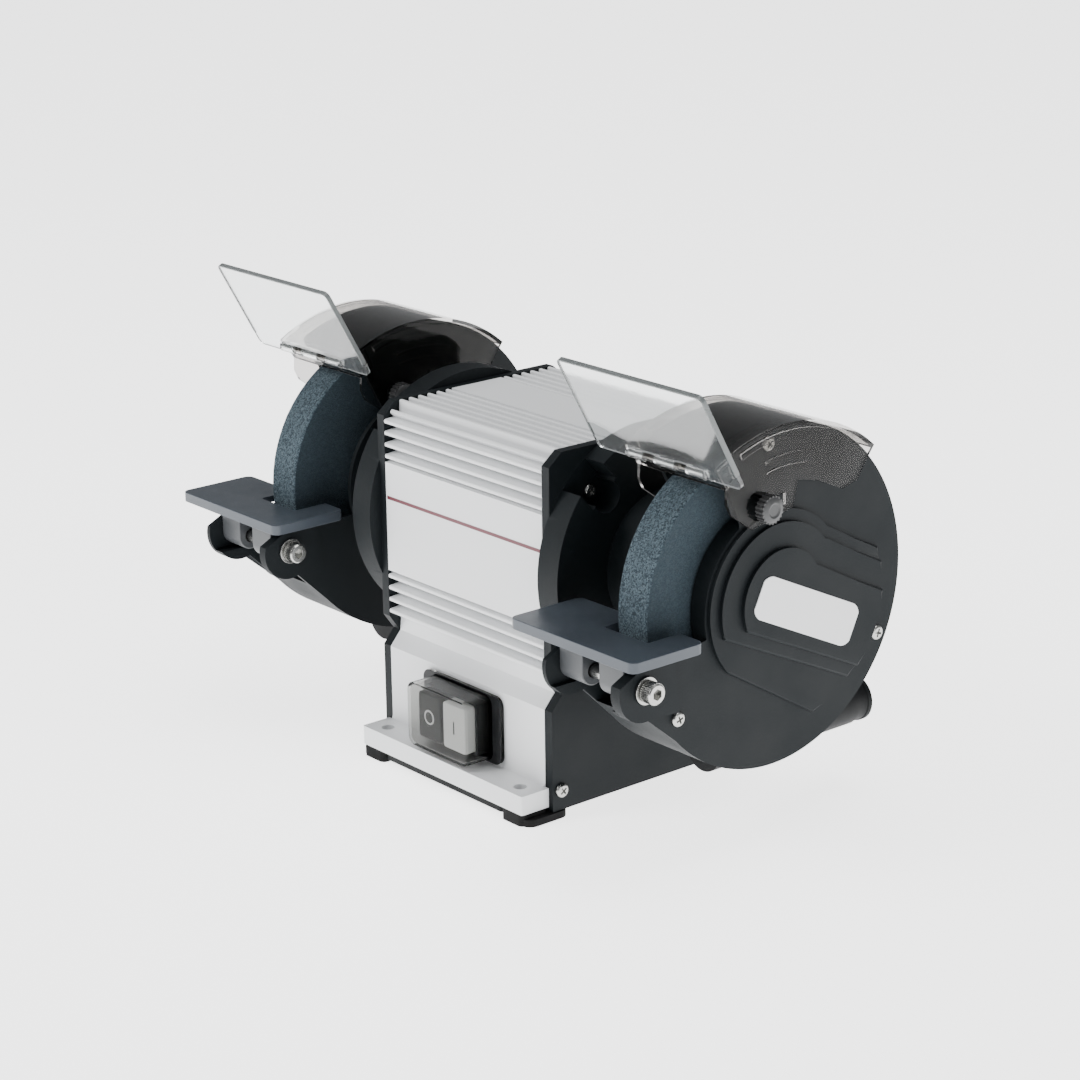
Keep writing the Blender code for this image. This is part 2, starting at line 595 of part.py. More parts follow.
def bolt_hole(name):
    return place(name, rod(-0.3, 0.3, BOLT_RADIUS + RUN, BOLT, 16))


def build_ear(holder, name, centre, direction, plate_middle):
    """Ear on one side of the rest, hollowed where the rest's lug reaches past the wall."""
    lug_face = LUG_SPANS[0][0] - GAP if direction < 0 else LUG_SPANS[1][1] + GAP
    face = centre + direction * EAR_FACE
    add(holder, place("ear_" + name, prism(ear_outline(), *span(plate_middle, face))))
    low = (min(centre, centre + lug_face), -0.20, BOLT_Z - 0.0115)
    high = (max(centre, centre + lug_face), BOLT_Y + 0.0125, 0.20)
    cut(holder, place("lug_room_" + name, block(low, high)))


def relief_outline(radius, top, bottom):
    """Raised step on the guard cover: round in front, with a slanting top and bottom edge."""
    start = math.degrees(math.asin(top / radius))
    end = 180 + math.degrees(math.asin(min(bottom / radius, 0.94)))
    outline = arc(radius, start, end, (0.0, 0.0), 9.0)
    low = math.degrees(math.asin(bottom / RELIEF_REACH))
    high = math.degrees(math.asin(top / RELIEF_REACH))
    outline += arc(RELIEF_REACH, -low, high, (0.0, 0.0), 20.0)
    return turn_outline(outline, RELIEF_TILT)


def build_guard(sign, side):
    centre = sign * WHEEL_X
    wall_in = centre - sign * GUARD_INSIDE_FACE
    wall_out = wall_in + sign * GUARD_WALL
    cover_face = centre + sign * GUARD_OUTSIDE_FACE
    plate_in = cover_face - sign * GUARD_WALL
    rim_end = cover_face - sign * (GUARD_LIP + GAP)
    beyond = centre + sign * 0.06

    shell = place("guard_shell_" + side, prism(wall_outline(), *span(wall_in, rim_end)), DARK)
    cut(shell, place("shell_pocket_" + side, prism(rim_pocket(), *span(wall_out, beyond))))
    hub = [(DRUM_FACE + GAP, GUARD_HUB - GUARD_HUB_WALL), (DRUM_FACE + GAP, GUARD_HUB),
           (abs(wall_in) + 0.001, GUARD_HUB), (abs(wall_in) + 0.001, GUARD_HUB - GUARD_HUB_WALL)]
    add(shell, place("hub_" + side, turned(mirrored(hub, sign), AXIS, 32)))
    cut(shell, place("shell_hole_" + side, rod(-0.3, 0.3, BEARING_INNER + 0.004, AXIS, 20)))
    spout_centre = (centre - sign * SPOUT_SHIFT, SPINDLE_HEIGHT - SPOUT_DROP)
    bore = rod(0.010, 0.15, SPOUT_RADIUS - SPOUT_WALL, spout_centre, 20, "Y")
    cut(shell, place("spout_way_" + side, bore))
    build_ear(shell, "wall_" + side, centre, -sign, wall_in + sign * GUARD_WALL / 2)
    cut(shell, bolt_hole("shell_bolt_" + side))

    spout = rod(SPOUT_FRONT, SPOUT_END, SPOUT_RADIUS, spout_centre, 20, "Y")
    spout_piece = place("dust_spout_" + side, spout, BLACK)
    clear_radius = (GUARD_RADIUS + GAP) / math.cos(math.pi / 60)
    cut(spout_piece, place("spout_trim_" + side, rod(-0.3, 0.3, clear_radius, AXIS, 60)))
    spout_bore = rod(SPOUT_FRONT + 0.004, 0.15, SPOUT_RADIUS - SPOUT_WALL, spout_centre, 20, "Y")
    cut(spout_piece, place("spout_bore_" + side, spout_bore))

    cover = prism(wall_outline(), *span(rim_end + sign * GAP, cover_face))
    cover = place("guard_cover_" + side, cover, DARK)
    cut(cover, place("cover_pocket_" + side, prism(rim_pocket(), *span(rim_end - sign * 0.01, plate_in))))
    front_lip = prism(sector(GUARD_CUT_RADIUS - GUARD_WALL, GUARD_CUT_RADIUS - GAP / 2,
                             GUARD_CUT_TOP, GUARD_CUT_BOTTOM, 8.0),
                      *span(centre + sign * (WHEEL_WIDTH / 2 + 0.0012), plate_in + sign * 0.001))
    add(cover, place("front_lip_" + side, front_lip))
    for level, (radius, top, bottom, rise) in enumerate(RELIEF):
        step = prism(relief_outline(radius, top, bottom),
                     *span(cover_face - sign * 0.001, cover_face + sign * rise))
        add(cover, place(f"relief_{side}_{level}", step))
    room_end = cover_face + sign * (RELIEF[-1][3] - GUARD_WALL)
    hollow = rod(*span(plate_in - sign * 0.01, room_end), RELIEF[-1][0] - 0.008, AXIS, 32)
    cut(cover, place("nut_room_" + side, hollow))
    build_ear(cover, "cover_" + side, centre, sign, cover_face - sign * GUARD_WALL / 2)
    cut(cover, bolt_hole("cover_bolt_" + side))

    for number, angle in enumerate(COVER_SCREWS):
        spot = polar(GUARD_RADIUS - COVER_SCREW_INSET, angle)
        post = rod(*span(wall_out - sign * 0.001, plate_in - sign * GAP), 0.0050, spot, 14)
        add(shell, place(f"screw_post_{side}_{number}", post))
        cut(cover, place(f"cover_screw_{side}_{number}", rod(-0.3, 0.3, 0.0024, spot, 10)))
    holder, face = (cover, cover_face) if sign > 0 else (shell, wall_in)
    knob_spot = polar(KNOB_RING, KNOB_ANGLE)
    boss_end = centre + HOOD_RIGHT - HOOD_WALL - GAP
    add(holder, place("knob_boss_" + side, rod(face - 0.001, boss_end, 0.0062, knob_spot, 16)))
    knob_hole = rod(boss_end - 0.006, boss_end + 0.01, KNOB_STEM + GAP, knob_spot, 12)
    cut(holder, place("knob_hole_" + side, knob_hole))


# ---------------------------------------------------------------- tool rests
def build_rest(sign, side):
    centre = sign * WHEEL_X
    notch_y = -(WHEEL_RADIUS + REST_GAP)
    notch_half = WHEEL_WIDTH / 2 + REST_NOTCH_SIDE
    origin = (centre, BOLT_Y, BOLT_Z)
    plate = block((centre - REST_LEFT, notch_y - REST_REACH, REST_TOP - REST_THICK),
                  (centre + REST_RIGHT, notch_y + REST_WRAP, REST_TOP), 0.008)
    rest = place("tool_rest_" + side, plate, REST_GREY, origin)
    notch = block((centre - notch_half, notch_y, REST_TOP - 0.02), (centre + notch_half, 0.0, REST_TOP + 0.01))
    cut(rest, place("rest_notch_" + side, notch))
    lug_top = REST_TOP - REST_THICK + 0.001
    lug = arc(LUG_RADIUS, 180.0, 360.0, BOLT, 18.0)
    lug += [(BOLT_Y + LUG_RADIUS, lug_top), (BOLT_Y - LUG_RADIUS, lug_top)]
    for number, (start, end) in enumerate(LUG_SPANS):
        add(rest, place(f"rest_lug_{side}_{number}", prism(lug, centre + start, centre + end)))
    cut(rest, bolt_hole("rest_bolt_hole_" + side))

    head = centre + EAR_FACE + GAP + 0.0016 + GAP
    nut_face = centre - EAR_FACE - GAP
    bolt_end = nut_face - 0.0065 - 0.0020
    profile = [(bolt_end, 0.0), (bolt_end, BOLT_RADIUS), (head, BOLT_RADIUS), (head, 0.0065),
               (head + 0.0080, 0.0065), (head + 0.0080, 0.0)]
    bolt = place("rest_bolt_" + side, turned(profile, BOLT, 16), STEEL)
    cut(bolt, place("bolt_socket_" + side, rod(head + 0.0035, head + 0.02, 0.0034, BOLT, 6)))
    washer = ring(head - GAP - 0.0016, head - GAP, BOLT_RADIUS + GAP, 0.0082, BOLT, 20)
    place("rest_washer_" + side, washer, STEEL)
    nut_piece = place("rest_nut_" + side, rod(nut_face - 0.0065, nut_face, 0.0072, BOLT, 6), STEEL)
    cut(nut_piece, place("rest_nut_bore_" + side, rod(-0.3, 0.3, BOLT_RADIUS + GAP, BOLT, 16)))


# ---------------------------------------------------------------- spark hoods and eye shields
def cheek_outline():
    """Side of the hood: arc on top, stepped front, and a lower edge dropping round the knob."""
    below = [(0.0640, 0.0730), (0.0560, 0.0615), (0.0442, 0.0585), (0.0233, 0.0676), (0.0080, 0.0711),
             (0.0040, 0.0560), (-0.0100, 0.0520), (-0.0280, 0.0485), (-0.0370, 0.0550), (-0.0440, 0.0600),
             (-0.0475, 0.0670)]
    points = arc(HOOD_OUTER, HOOD_BACK, HOOD_FRONT, step=5.0)
    points.append(polar(HOOD_OUTER - HOOD_FRONT_DEPTH, HOOD_FRONT))
    points += [(y, SPINDLE_HEIGHT + z) for y, z in reversed(below)]
    return points


def hood_room():
    """Inside of the hood, open at the back and below, with a wall left across the front."""
    wall_angle = math.degrees(HOOD_WALL / HOOD_INNER)
    points = arc(HOOD_INNER, HOOD_BACK, HOOD_FRONT - wall_angle, step=5.0)
    points[0] = polar(HOOD_INNER, HOOD_BACK - 4.0)
    points.append(polar(HOOD_OUTER - HOOD_FRONT_DEPTH, HOOD_FRONT - wall_angle))
    points.append(polar(HOOD_OUTER - HOOD_FRONT_DEPTH, HOOD_FRONT + 10.0))
    return points + [(-0.07, SPINDLE_HEIGHT + 0.02), (0.09, SPINDLE_HEIGHT + 0.02)]


def pin_place():
    """Centre of the shield's pin, just ahead of the hood's front wall."""
    angle = math.radians(HOOD_FRONT)
    radius = HOOD_OUTER - 0.0005
    return (radius * math.cos(angle) - PIN_FORWARD * math.sin(angle),
            SPINDLE_HEIGHT + radius * math.sin(angle) + PIN_FORWARD * math.cos(angle))


def slanted(centre, degrees, low, high, back, front):
    """Rectangle in (y, z) measured along a slanted direction, and forward of it."""
    up = (math.cos(math.radians(degrees)), math.sin(math.radians(degrees)))
    corners = ((low, back), (high, back), (high, front), (low, front))
    return [(centre[0] + up[0] * a - up[1] * b, centre[1] + up[1] * a + up[0] * b) for a, b in corners]


def build_hood(sign, side):
    centre = sign * WHEEL_X
    left, right = centre - HOOD_LEFT, centre + HOOD_RIGHT
    pin = pin_place()
    hood = place("spark_hood_" + side, prism(cheek_outline(), left, right), SMOKE, (0.0, *AXIS))
    cut(hood, place("hood_room_" + side, prism(hood_room(), left + HOOD_WALL, right - HOOD_WALL)))
    slot = sector(KNOB_RING - 0.0034, KNOB_RING + 0.0034, KNOB_ANGLE - HOOD_FORWARD - 3.2,
                  KNOB_ANGLE + HOOD_BACKWARD + 3.2, 5.0)
    cut(hood, place("hood_slot_" + side, prism(slot, right - 0.01, right + 0.01)))
    for number, (start, end) in enumerate(HOOD_LUGS):
        lug = slanted(pin, HOOD_FRONT, -BARREL_RADIUS, 0.0, -PIN_FORWARD - 0.001, 0.0)
        add(hood, place(f"hood_lug_{side}_{number}", prism(lug, centre + start, centre + end)))
        barrel = rod(centre + start, centre + end, BARREL_RADIUS - 0.0001, pin, 12)
        add(hood, place(f"hood_barrel_{side}_{number}", barrel))
    pin_half = SHIELD_LUGS[-1][1] - 0.0010
    hood_pin = rod(centre - pin_half - GAP, centre + pin_half + GAP, PIN_RADIUS + GAP, pin, 10)
    cut(hood, place("hood_pin_hole_" + side, hood_pin))

    outline = slanted(pin, SHIELD_ANGLE, -SHIELD_BELOW_PIN, SHIELD_HEIGHT - SHIELD_BELOW_PIN,
                      -SHIELD_THICK / 2, SHIELD_THICK / 2)
    plate = prism(outline, centre - SHIELD_WIDTH / 2, centre + SHIELD_WIDTH / 2)
    shield = place("eye_shield_" + side, plate, CLEAR, (centre, *pin))
    for number, (start, end) in enumerate(SHIELD_LUGS):
        barrel = rod(centre + start, centre + end, BARREL_RADIUS, pin, 12)
        add(shield, place(f"shield_barrel_{side}_{number}", barrel))
    for number, (start, end) in enumerate(HOOD_LUGS):
        notch = slanted(pin, SHIELD_ANGLE, -0.02, BARREL_RADIUS + RUN, -0.01, 0.01)
        cut(shield, place(f"shield_notch_{side}_{number}",
                          prism(notch, centre + start - RUN, centre + end + RUN)))
    shield_pin = rod(centre - pin_half - GAP, centre + pin_half + GAP, PIN_RADIUS + GAP, pin, 10)
    cut(shield, place("shield_pin_hole_" + side, shield_pin))
    place("shield_pin_" + side, rod(centre - pin_half, centre + pin_half, PIN_RADIUS, pin, 10), STEEL)

    spot = polar(KNOB_RING, KNOB_ANGLE)
    face = right + GAP
    stem_end = face - HOOD_WALL - 0.0055
    profile = [(stem_end, 0.0), (stem_end, KNOB_STEM), (face, KNOB_STEM),
               (face, KNOB_RADIUS), (face + 0.0060, KNOB_RADIUS), (face + 0.0075, KNOB_RADIUS - 0.0020),
               (face + 0.0075, 0.0)]
    place("hood_knob_" + side, turned(profile, spot, 16), DARK)


# ---------------------------------------------------------------- switch and electrics
def build_switch():
    half_w, half_h = SWITCH_WIDTH / 2, SWITCH_HEIGHT / 2
    low_z, high_z = SWITCH_CENTRE_Z - half_h, SWITCH_CENTRE_Z + half_h
    wall_face = -HALF_WIDTH - GAP
    boot = place("switch_boot", block((-half_w, -BOOT_FRONT, low_z), (half_w, wall_face, high_z), 0.006, "Y"), SMOKE)
    frame = block((-SWITCH_FRAME / 2, wall_face - 0.0025, low_z - 0.001),
                  (SWITCH_FRAME / 2, wall_face, high_z + 0.001), 0.006, "Y")
    add(boot, place("boot_frame", frame))
    inside = block((-half_w + BOOT_WALL, -BOOT_FRONT + BOOT_WALL, low_z + BOOT_WALL),
                   (half_w - BOOT_WALL, 0.0, high_z - BOOT_WALL), 0.0048, "Y")
    cut(boot, place("boot_inside", inside))

    inset = BOOT_WALL + 0.0018
    bezel_face = -BUTTON_FACE + BUTTON_TRAVEL + 0.0030
    body = block((-half_w + inset + 0.001, bezel_face, low_z + inset + 0.001),
                 (half_w - inset - 0.001, -HALF_WIDTH + 0.030, high_z - inset - 0.001), 0.0, "Y")
    switch = place("switch_body", body, SWITCH_DARK)
    button_middle = BUTTON_WIDTH / 2 + 0.0015
    buttons = (("stop_button", -button_middle, SWITCH_DARK), ("start_button", button_middle, SWITCH_WHITE))
    stem_end = bezel_face + 0.0060
    for name, x, spec in buttons:
        low = (x - BUTTON_WIDTH / 2, -BUTTON_FACE, SWITCH_CENTRE_Z - BUTTON_HEIGHT / 2)
        high = (x + BUTTON_WIDTH / 2, stem_end, SWITCH_CENTRE_Z + BUTTON_HEIGHT / 2)
        well = block((low[0] - RUN, bezel_face - 0.01, low[2] - RUN),
                     (high[0] + RUN, stem_end + BUTTON_TRAVEL + GAP, high[2] + RUN), 0.0024, "Y")
        cut(switch, place(name + "_well", well))
        place(name, block(low, high, 0.0020, "Y"), spec, (x, -BUTTON_FACE, SWITCH_CENTRE_Z))

    inner_face = HALF_WIDTH - PEDESTAL_WALL
    gland_profile = [(inner_face - 0.008, 0.0045), (inner_face - 0.008, GLAND_THREAD),
                     (HALF_WIDTH + GAP, GLAND_THREAD), (HALF_WIDTH + GAP, 0.0120),
                     (HALF_WIDTH + 0.0060, 0.0120), (HALF_WIDTH + 0.0065, 0.0100),
                     (HALF_WIDTH + 0.0160, 0.0090), (HALF_WIDTH + 0.0200, 0.0065),
                     (HALF_WIDTH + 0.0200, 0.0045)]
    place("cable_gland", turned(gland_profile, GLAND_PLACE, 24, "Y"), BLACK)
    place("capacitor", rod(-0.010, 0.062, 0.0170, (0.036, 0.0300), 32), SWITCH_WHITE)
    place("terminal_block", block((-0.060, 0.000, FLANGE_BOTTOM + 0.001), (-0.020, 0.022, 0.026), 0.002), SWITCH_WHITE)


build_housing()
build_base()
build_motor()
build_spindle()
build_switch()
for direction, end_name in ((-1, "left"), (1, "right")):
    build_end_cover(direction, end_name)
    build_guard(direction, end_name)
    build_rest(direction, end_name)
    build_hood(direction, end_name)
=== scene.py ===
"""Double-ended bench grinder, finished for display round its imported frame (metres, +Z up)."""
import json
import math

import bmesh
import bpy
from mathutils import Matrix, Vector


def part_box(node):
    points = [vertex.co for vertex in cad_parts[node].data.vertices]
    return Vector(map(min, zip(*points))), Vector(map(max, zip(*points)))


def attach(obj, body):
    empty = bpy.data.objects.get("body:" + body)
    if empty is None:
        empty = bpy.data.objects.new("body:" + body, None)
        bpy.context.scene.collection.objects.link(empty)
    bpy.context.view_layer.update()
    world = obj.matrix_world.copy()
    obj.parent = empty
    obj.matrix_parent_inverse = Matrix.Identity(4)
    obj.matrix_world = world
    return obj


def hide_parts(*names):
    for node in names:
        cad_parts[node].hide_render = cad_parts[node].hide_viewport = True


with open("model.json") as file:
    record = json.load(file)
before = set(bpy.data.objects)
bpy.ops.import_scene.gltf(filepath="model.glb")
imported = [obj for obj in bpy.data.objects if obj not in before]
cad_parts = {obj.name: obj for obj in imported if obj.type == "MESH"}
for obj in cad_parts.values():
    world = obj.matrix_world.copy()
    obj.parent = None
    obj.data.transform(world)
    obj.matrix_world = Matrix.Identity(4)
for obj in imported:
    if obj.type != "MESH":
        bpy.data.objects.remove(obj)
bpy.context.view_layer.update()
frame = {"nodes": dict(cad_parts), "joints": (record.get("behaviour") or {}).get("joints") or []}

# ------------------------------------------------------------------ camera, floor and lamps
# The grinder stands on a plain pale floor. It is seen from its right front corner, a little
# from above, through a long lens, under one large soft lamp and two weaker ones.
VIEW_AZIMUTH = math.radians(50.26)
VIEW_ELEVATION = math.radians(17.70)
VIEW_ROLL = math.radians(-0.77)
VIEW_TARGET = Vector((0.1868, -0.1677, 0.2225))
VIEW_DISTANCE = 1.5479
LENS = 96.45

back = Vector((math.cos(VIEW_ELEVATION) * math.sin(VIEW_AZIMUTH),
               -math.cos(VIEW_ELEVATION) * math.cos(VIEW_AZIMUTH), math.sin(VIEW_ELEVATION)))
level = Vector((math.cos(VIEW_AZIMUTH), math.sin(VIEW_AZIMUTH), 0.0))
right = level * math.cos(VIEW_ROLL) + back.cross(level) * math.sin(VIEW_ROLL)
camera = bpy.data.objects.new("camera", bpy.data.cameras.new("camera"))
camera.data.lens = LENS
camera.data.sensor_width = 36.0
camera.matrix_world = Matrix.Translation(VIEW_TARGET + back * VIEW_DISTANCE) @ Matrix(
    (right, back.cross(right), back)).transposed().to_4x4()
bpy.context.scene.collection.objects.link(camera)
bpy.context.scene.camera = camera

world = bpy.data.worlds.new("studio")
world.use_nodes = True
for socket, value in (("Color", (0.95, 0.97, 1.0, 1.0)), ("Strength", 0.38)):
    world.node_tree.nodes["Background"].inputs[socket].default_value = value
bpy.context.scene.world = world


def soft_lamp(name, place, aim, width, power):
    lamp = bpy.data.lights.new(name, "AREA")
    lamp.shape = "DISK"
    lamp.size = width
    lamp.energy = power
    holder = bpy.data.objects.new(name, lamp)
    holder.location = place
    holder.rotation_euler = (Vector(aim) - Vector(place)).to_track_quat("-Z", "Y").to_euler()
    bpy.context.scene.collection.objects.link(holder)


soft_lamp("lamp_key", (-0.9, -1.9, 1.7), (0.0, 0.0, 0.15), 1.1, 36.0)
soft_lamp("lamp_top", (0.2, 0.3, 2.2), (0.0, 0.0, 0.15), 1.6, 26.0)
soft_lamp("lamp_side", (2.4, -0.2, 0.9), (0.1, 0.0, 0.15), 1.0, 9.0)


def set_inputs(node, **values):
    """Set a node's inputs by name, where an underscore stands for a space."""
    for socket, value in values.items():
        node.inputs[socket.replace("_", " ")].default_value = value
    return node


def finish(name, colours, mottle, roughness, grain, bump, metallic=0.0, **sockets):
    """Mottled colour between two tones, with roughness and a fine bump from a smaller grain."""
    material = bpy.data.materials.new(name)
    material.use_nodes = True
    nodes, links = material.node_tree.nodes, material.node_tree.links
    shader = set_inputs(nodes["Principled BSDF"], Metallic=metallic, **sockets)
    place = nodes.new("ShaderNodeTexCoord")
    cloud = set_inputs(nodes.new("ShaderNodeTexNoise"), Scale=mottle, Detail=5.0)
    tone = nodes.new("ShaderNodeMix")
    tone.data_type = "RGBA"
    set_inputs(tone, A=(*colours[0], 1.0), B=(*colours[1], 1.0))
    speck = set_inputs(nodes.new("ShaderNodeTexNoise"), Scale=grain, Detail=3.0)
    sheen = set_inputs(nodes.new("ShaderNodeMapRange"), From_Min=0.3, From_Max=0.7, To_Min=roughness[0],
                       To_Max=roughness[1])
    relief = set_inputs(nodes.new("ShaderNodeBump"), Strength=1.0, Distance=bump)
    links.new(place.outputs["Object"], cloud.inputs["Vector"])
    links.new(place.outputs["Object"], speck.inputs["Vector"])
    links.new(cloud.outputs["Fac"], tone.inputs["Factor"])
    links.new(tone.outputs["Result"], shader.inputs["Base Color"])
    links.new(cloud.outputs["Fac"], sheen.inputs["Value"])
    links.new(sheen.outputs["Result"], shader.inputs["Roughness"])
    links.new(speck.outputs["Fac"], relief.inputs["Height"])
    links.new(relief.outputs["Normal"], shader.inputs["Normal"])
    return material


FLOOR_HALF = 6.0
FLOOR_GLOW = 2.6
floor_shape = bmesh.new()
bmesh.ops.create_grid(floor_shape, x_segments=1, y_segments=1, size=FLOOR_HALF)
floor_mesh = bpy.data.meshes.new("floor")
floor_shape.to_mesh(floor_mesh)
floor_shape.free()
floor = bpy.data.objects.new("floor", floor_mesh)
floor_mesh.materials.append(finish("floor_white", ((0.88, 0.885, 0.89), (0.91, 0.915, 0.92)), 3.0,
                                   (0.55, 0.65), 60.0, 0.0, Emission_Color=(1.0, 1.0, 1.0, 1.0),
                                   Emission_Strength=FLOOR_GLOW))
bpy.context.scene.collection.objects.link(floor)

# ------------------------------------------------------------------ motor housing
# An aluminium extrusion, powder-coated white, with cooling fins along its top, its shoulders and
# the lower part of each side. It is cut to length, bored for the stator and drilled for the feet.
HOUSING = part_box("motor_housing")
SPINDLE = frame["joints"][0]["pos_m"][2]
PANEL_HALF = 0.0200
BODY_END = 0.0760
BODY_HALF = 0.0740
BODY_TOP = HOUSING[1].z
CHAMFER_Y = 0.0100
CHAMFER_Z = 0.0080
FIN_DEPTH = 0.0090
FIN_TIP = 0.0026
FIN_ROOT = 0.0042
UPPER_ROOM = 0.0300
PANEL_TOP = BODY_TOP - CHAMFER_Z - UPPER_ROOM
PANEL_BOTTOM = 0.1205
UNDERSIDE = 0.0895
NECK_DEPTH = 0.0080
NECK_Z = 0.0785
PEDESTAL_TOP = 0.0694
FLANGE_BOTTOM = HOUSING[0].z
FLANGE_TOP = 0.0198
FLANGE_REACH = 0.0955
FLANGE_END = HOUSING[1].x
STATOR_BORE = 0.0600
HOLE_X = 0.066
HOLE_Y = 0.0855
HOUSING_WALL = 0.005
HOLE_R = 0.0042
COVER_TOE = 0.0748
AXIS = (0.0, SPINDLE)
CLEAR = 0.0003
THROUGH = 0.3
SIDES = ((-1, "left"), (1, "right"))


def arc(radius, start, end, centre=AXIS, step=2.5):
    """Points of an arc in the (y, z) plane, in degrees from the back (+Y) through the top."""
    count = max(3, int(abs(end - start) / step) + 1)
    angles = [math.radians(start + (end - start) * i / (count - 1)) for i in range(count)]
    return [(centre[0] + radius * math.cos(a), centre[1] + radius * math.sin(a)) for a in angles]


def prism(outline, start, end, axis="X"):
    """Closed outline carried from start to end; X takes (y, z), Y takes (x, z), Z takes (x, y)."""
    order = {"X": (2, 0, 1), "Y": (0, 2, 1), "Z": (0, 1, 2)}[axis]
    shape = bmesh.new()
    rings = [[shape.verts.new([(a, b, level)[i] for i in order]) for a, b in outline]
             for level in (start, end)]
    shape.faces.new(rings[0])
    shape.faces.new(rings[1])
    for i in range(len(outline)):
        j = (i + 1) % len(outline)
        shape.faces.new((rings[0][i], rings[0][j], rings[1][j], rings[1][i]))
    return shape


def rounded(low, high, radius, steps=8):
    """Rectangle outline with equal round corners."""
    points = []
    for a, b, start in ((high[0] - radius, low[1] + radius, -90), (high[0] - radius, high[1] - radius, 0),
                        (low[0] + radius, high[1] - radius, 90), (low[0] + radius, low[1] + radius, 180)):
        points += arc(radius, start, start + 90, (a, b), 90 / steps)
    return points


def block(corner, opposite, radius=0.0004, axis="Z"):
    """Box between two opposite corners, with its edges along the axis rounded."""
    low, high = [min(pair) for pair in zip(corner, opposite)], [max(pair) for pair in zip(corner, opposite)]
    i, j, k = {"X": (1, 2, 0), "Y": (0, 2, 1), "Z": (0, 1, 2)}[axis]
    return prism(rounded((low[i], low[j]), (high[i], high[j]), radius), low[k], high[k], axis)


def turned(profile, centre, steps=96, axis="X"):
    """Closed (along, radius) profile turned about an axis; a radius of 0 closes on the axis."""
    shape = bmesh.new()
    rings = []
    for along, radius in profile:
        around = []
        for i in range(1 if radius < 1e-7 else steps):
            a = centre[0] + radius * math.cos(math.tau * i / steps)
            b = centre[1] + radius * math.sin(math.tau * i / steps)
            around.append(shape.verts.new({"X": (along, a, b), "Y": (a, along, b), "Z": (a, b, along)}[axis]))
        rings.append(around)
    for first, second in zip(rings, rings[1:] + rings[:1]):
        if len(first) == 1 and len(second) == 1:
            continue
        for i in range(steps):
            j = (i + 1) % steps
            corners = (first[i % len(first)], first[j % len(first)], second[j % len(second)],
                       second[i % len(second)])
            shape.faces.new(list(dict.fromkeys(corners)))
    return shape


def rod(start, end, radius, centre, steps=48, axis="X"):
    return turned([(start, 0.0), (start, radius), (end, radius), (end, 0.0)], centre, steps, axis)


def bore(radius, centre, steps=24, reach=THROUGH):
    """A round cut right through along X, as far as the reach on both sides."""
    return "cut", rod(-reach, reach, radius, centre, steps)


def loose(name, shape):
    bmesh.ops.recalc_face_normals(shape, faces=shape.faces[:])
    mesh = bpy.data.meshes.new(name)
    shape.to_mesh(mesh)
    shape.free()
    piece = bpy.data.objects.new(name, mesh)
    bpy.context.scene.collection.objects.link(piece)
    return piece


def settle(piece):
    """Replace a piece's mesh by what its modifiers make of it."""
    graph = bpy.context.evaluated_depsgraph_get()
    graph.update()
    mesh = bpy.data.meshes.new_from_object(piece.evaluated_get(graph), depsgraph=graph)
    old = piece.data
    piece.modifiers.clear()
    piece.data = mesh
    bpy.data.meshes.remove(old)
    mesh.name = piece.name
    return piece


def combine(piece, operation, tool):
    """Join a solid to a piece or cut it out, and use the solid up."""
    helper = loose(piece.name + "_tool", tool)
    change = piece.modifiers.new("change", "BOOLEAN")
    change.operation = "UNION" if operation == "join" else "DIFFERENCE"
    change.solver = "EXACT"
    change.object = helper
    settle(piece)
    bpy.data.objects.remove(helper)


def forge(name, base, steps=(), edge=0.0005, segments=2, angle=32.0):
    """Cut or join solids on a base in turn, then round off every edge sharper than the angle."""
    piece = loose(name, base)
    for operation, tool in steps:
        combine(piece, operation, tool)
    shape = bmesh.new()
    shape.from_mesh(piece.data)
    bmesh.ops.remove_doubles(shape, verts=shape.verts[:], dist=2e-6)
    bmesh.ops.dissolve_limit(shape, angle_limit=math.radians(0.6), verts=shape.verts[:], edges=shape.edges[:])
    shape.to_mesh(piece.data)
    shape.free()
    piece.data.shade_smooth()
    if edge > 0.0:
        rounding = piece.modifiers.new("rounding", "BEVEL")
        rounding.width = edge
        rounding.segments = segments
        rounding.limit_method = "ANGLE"
        rounding.angle_limit = math.radians(angle)
        rounding.harden_normals = True
        rounding.use_clamp_overlap = True
        settle(piece)
    else:
        piece.data.set_sharp_from_angle(angle=math.radians(angle))
    return piece


def fit(piece, material, body, slot, *nodes):
    """Give a finished piece its material, the body it moves with and the CAD nodes it stands for."""
    piece.data.materials.clear()
    piece.data.materials.append(material)
    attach(piece, body)
    if nodes:
        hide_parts(*nodes)


def core_half():
    """Front half of the extrusion without its fins, as (distance from the middle, height)."""
    top, shoulder = BODY_TOP, BODY_TOP - CHAMFER_Z
    edge = BODY_HALF - CHAMFER_Y
    return [(PANEL_HALF, top), (PANEL_HALF + 0.0008, top - FIN_DEPTH), (edge - 0.001, top - FIN_DEPTH),
            (BODY_HALF - FIN_DEPTH, shoulder - 0.001), (BODY_HALF - FIN_DEPTH, PANEL_TOP + 0.0008),
            (BODY_HALF, PANEL_TOP), (BODY_HALF, PANEL_BOTTOM), (BODY_HALF - FIN_DEPTH, PANEL_BOTTOM - 0.0008),
            (BODY_HALF - FIN_DEPTH, UNDERSIDE), (BODY_HALF - NECK_DEPTH, NECK_Z), (BODY_HALF, PEDESTAL_TOP),
            (BODY_HALF, FLANGE_TOP + 0.0025), (BODY_HALF + 0.0008, FLANGE_TOP + 0.0007),
            (BODY_HALF + 0.0026, FLANGE_TOP), (BODY_HALF + 0.0028, FLANGE_BOTTOM)]


def both_halves(half):
    return [(-y, z) for y, z in half] + [(y, z) for y, z in reversed(half)]


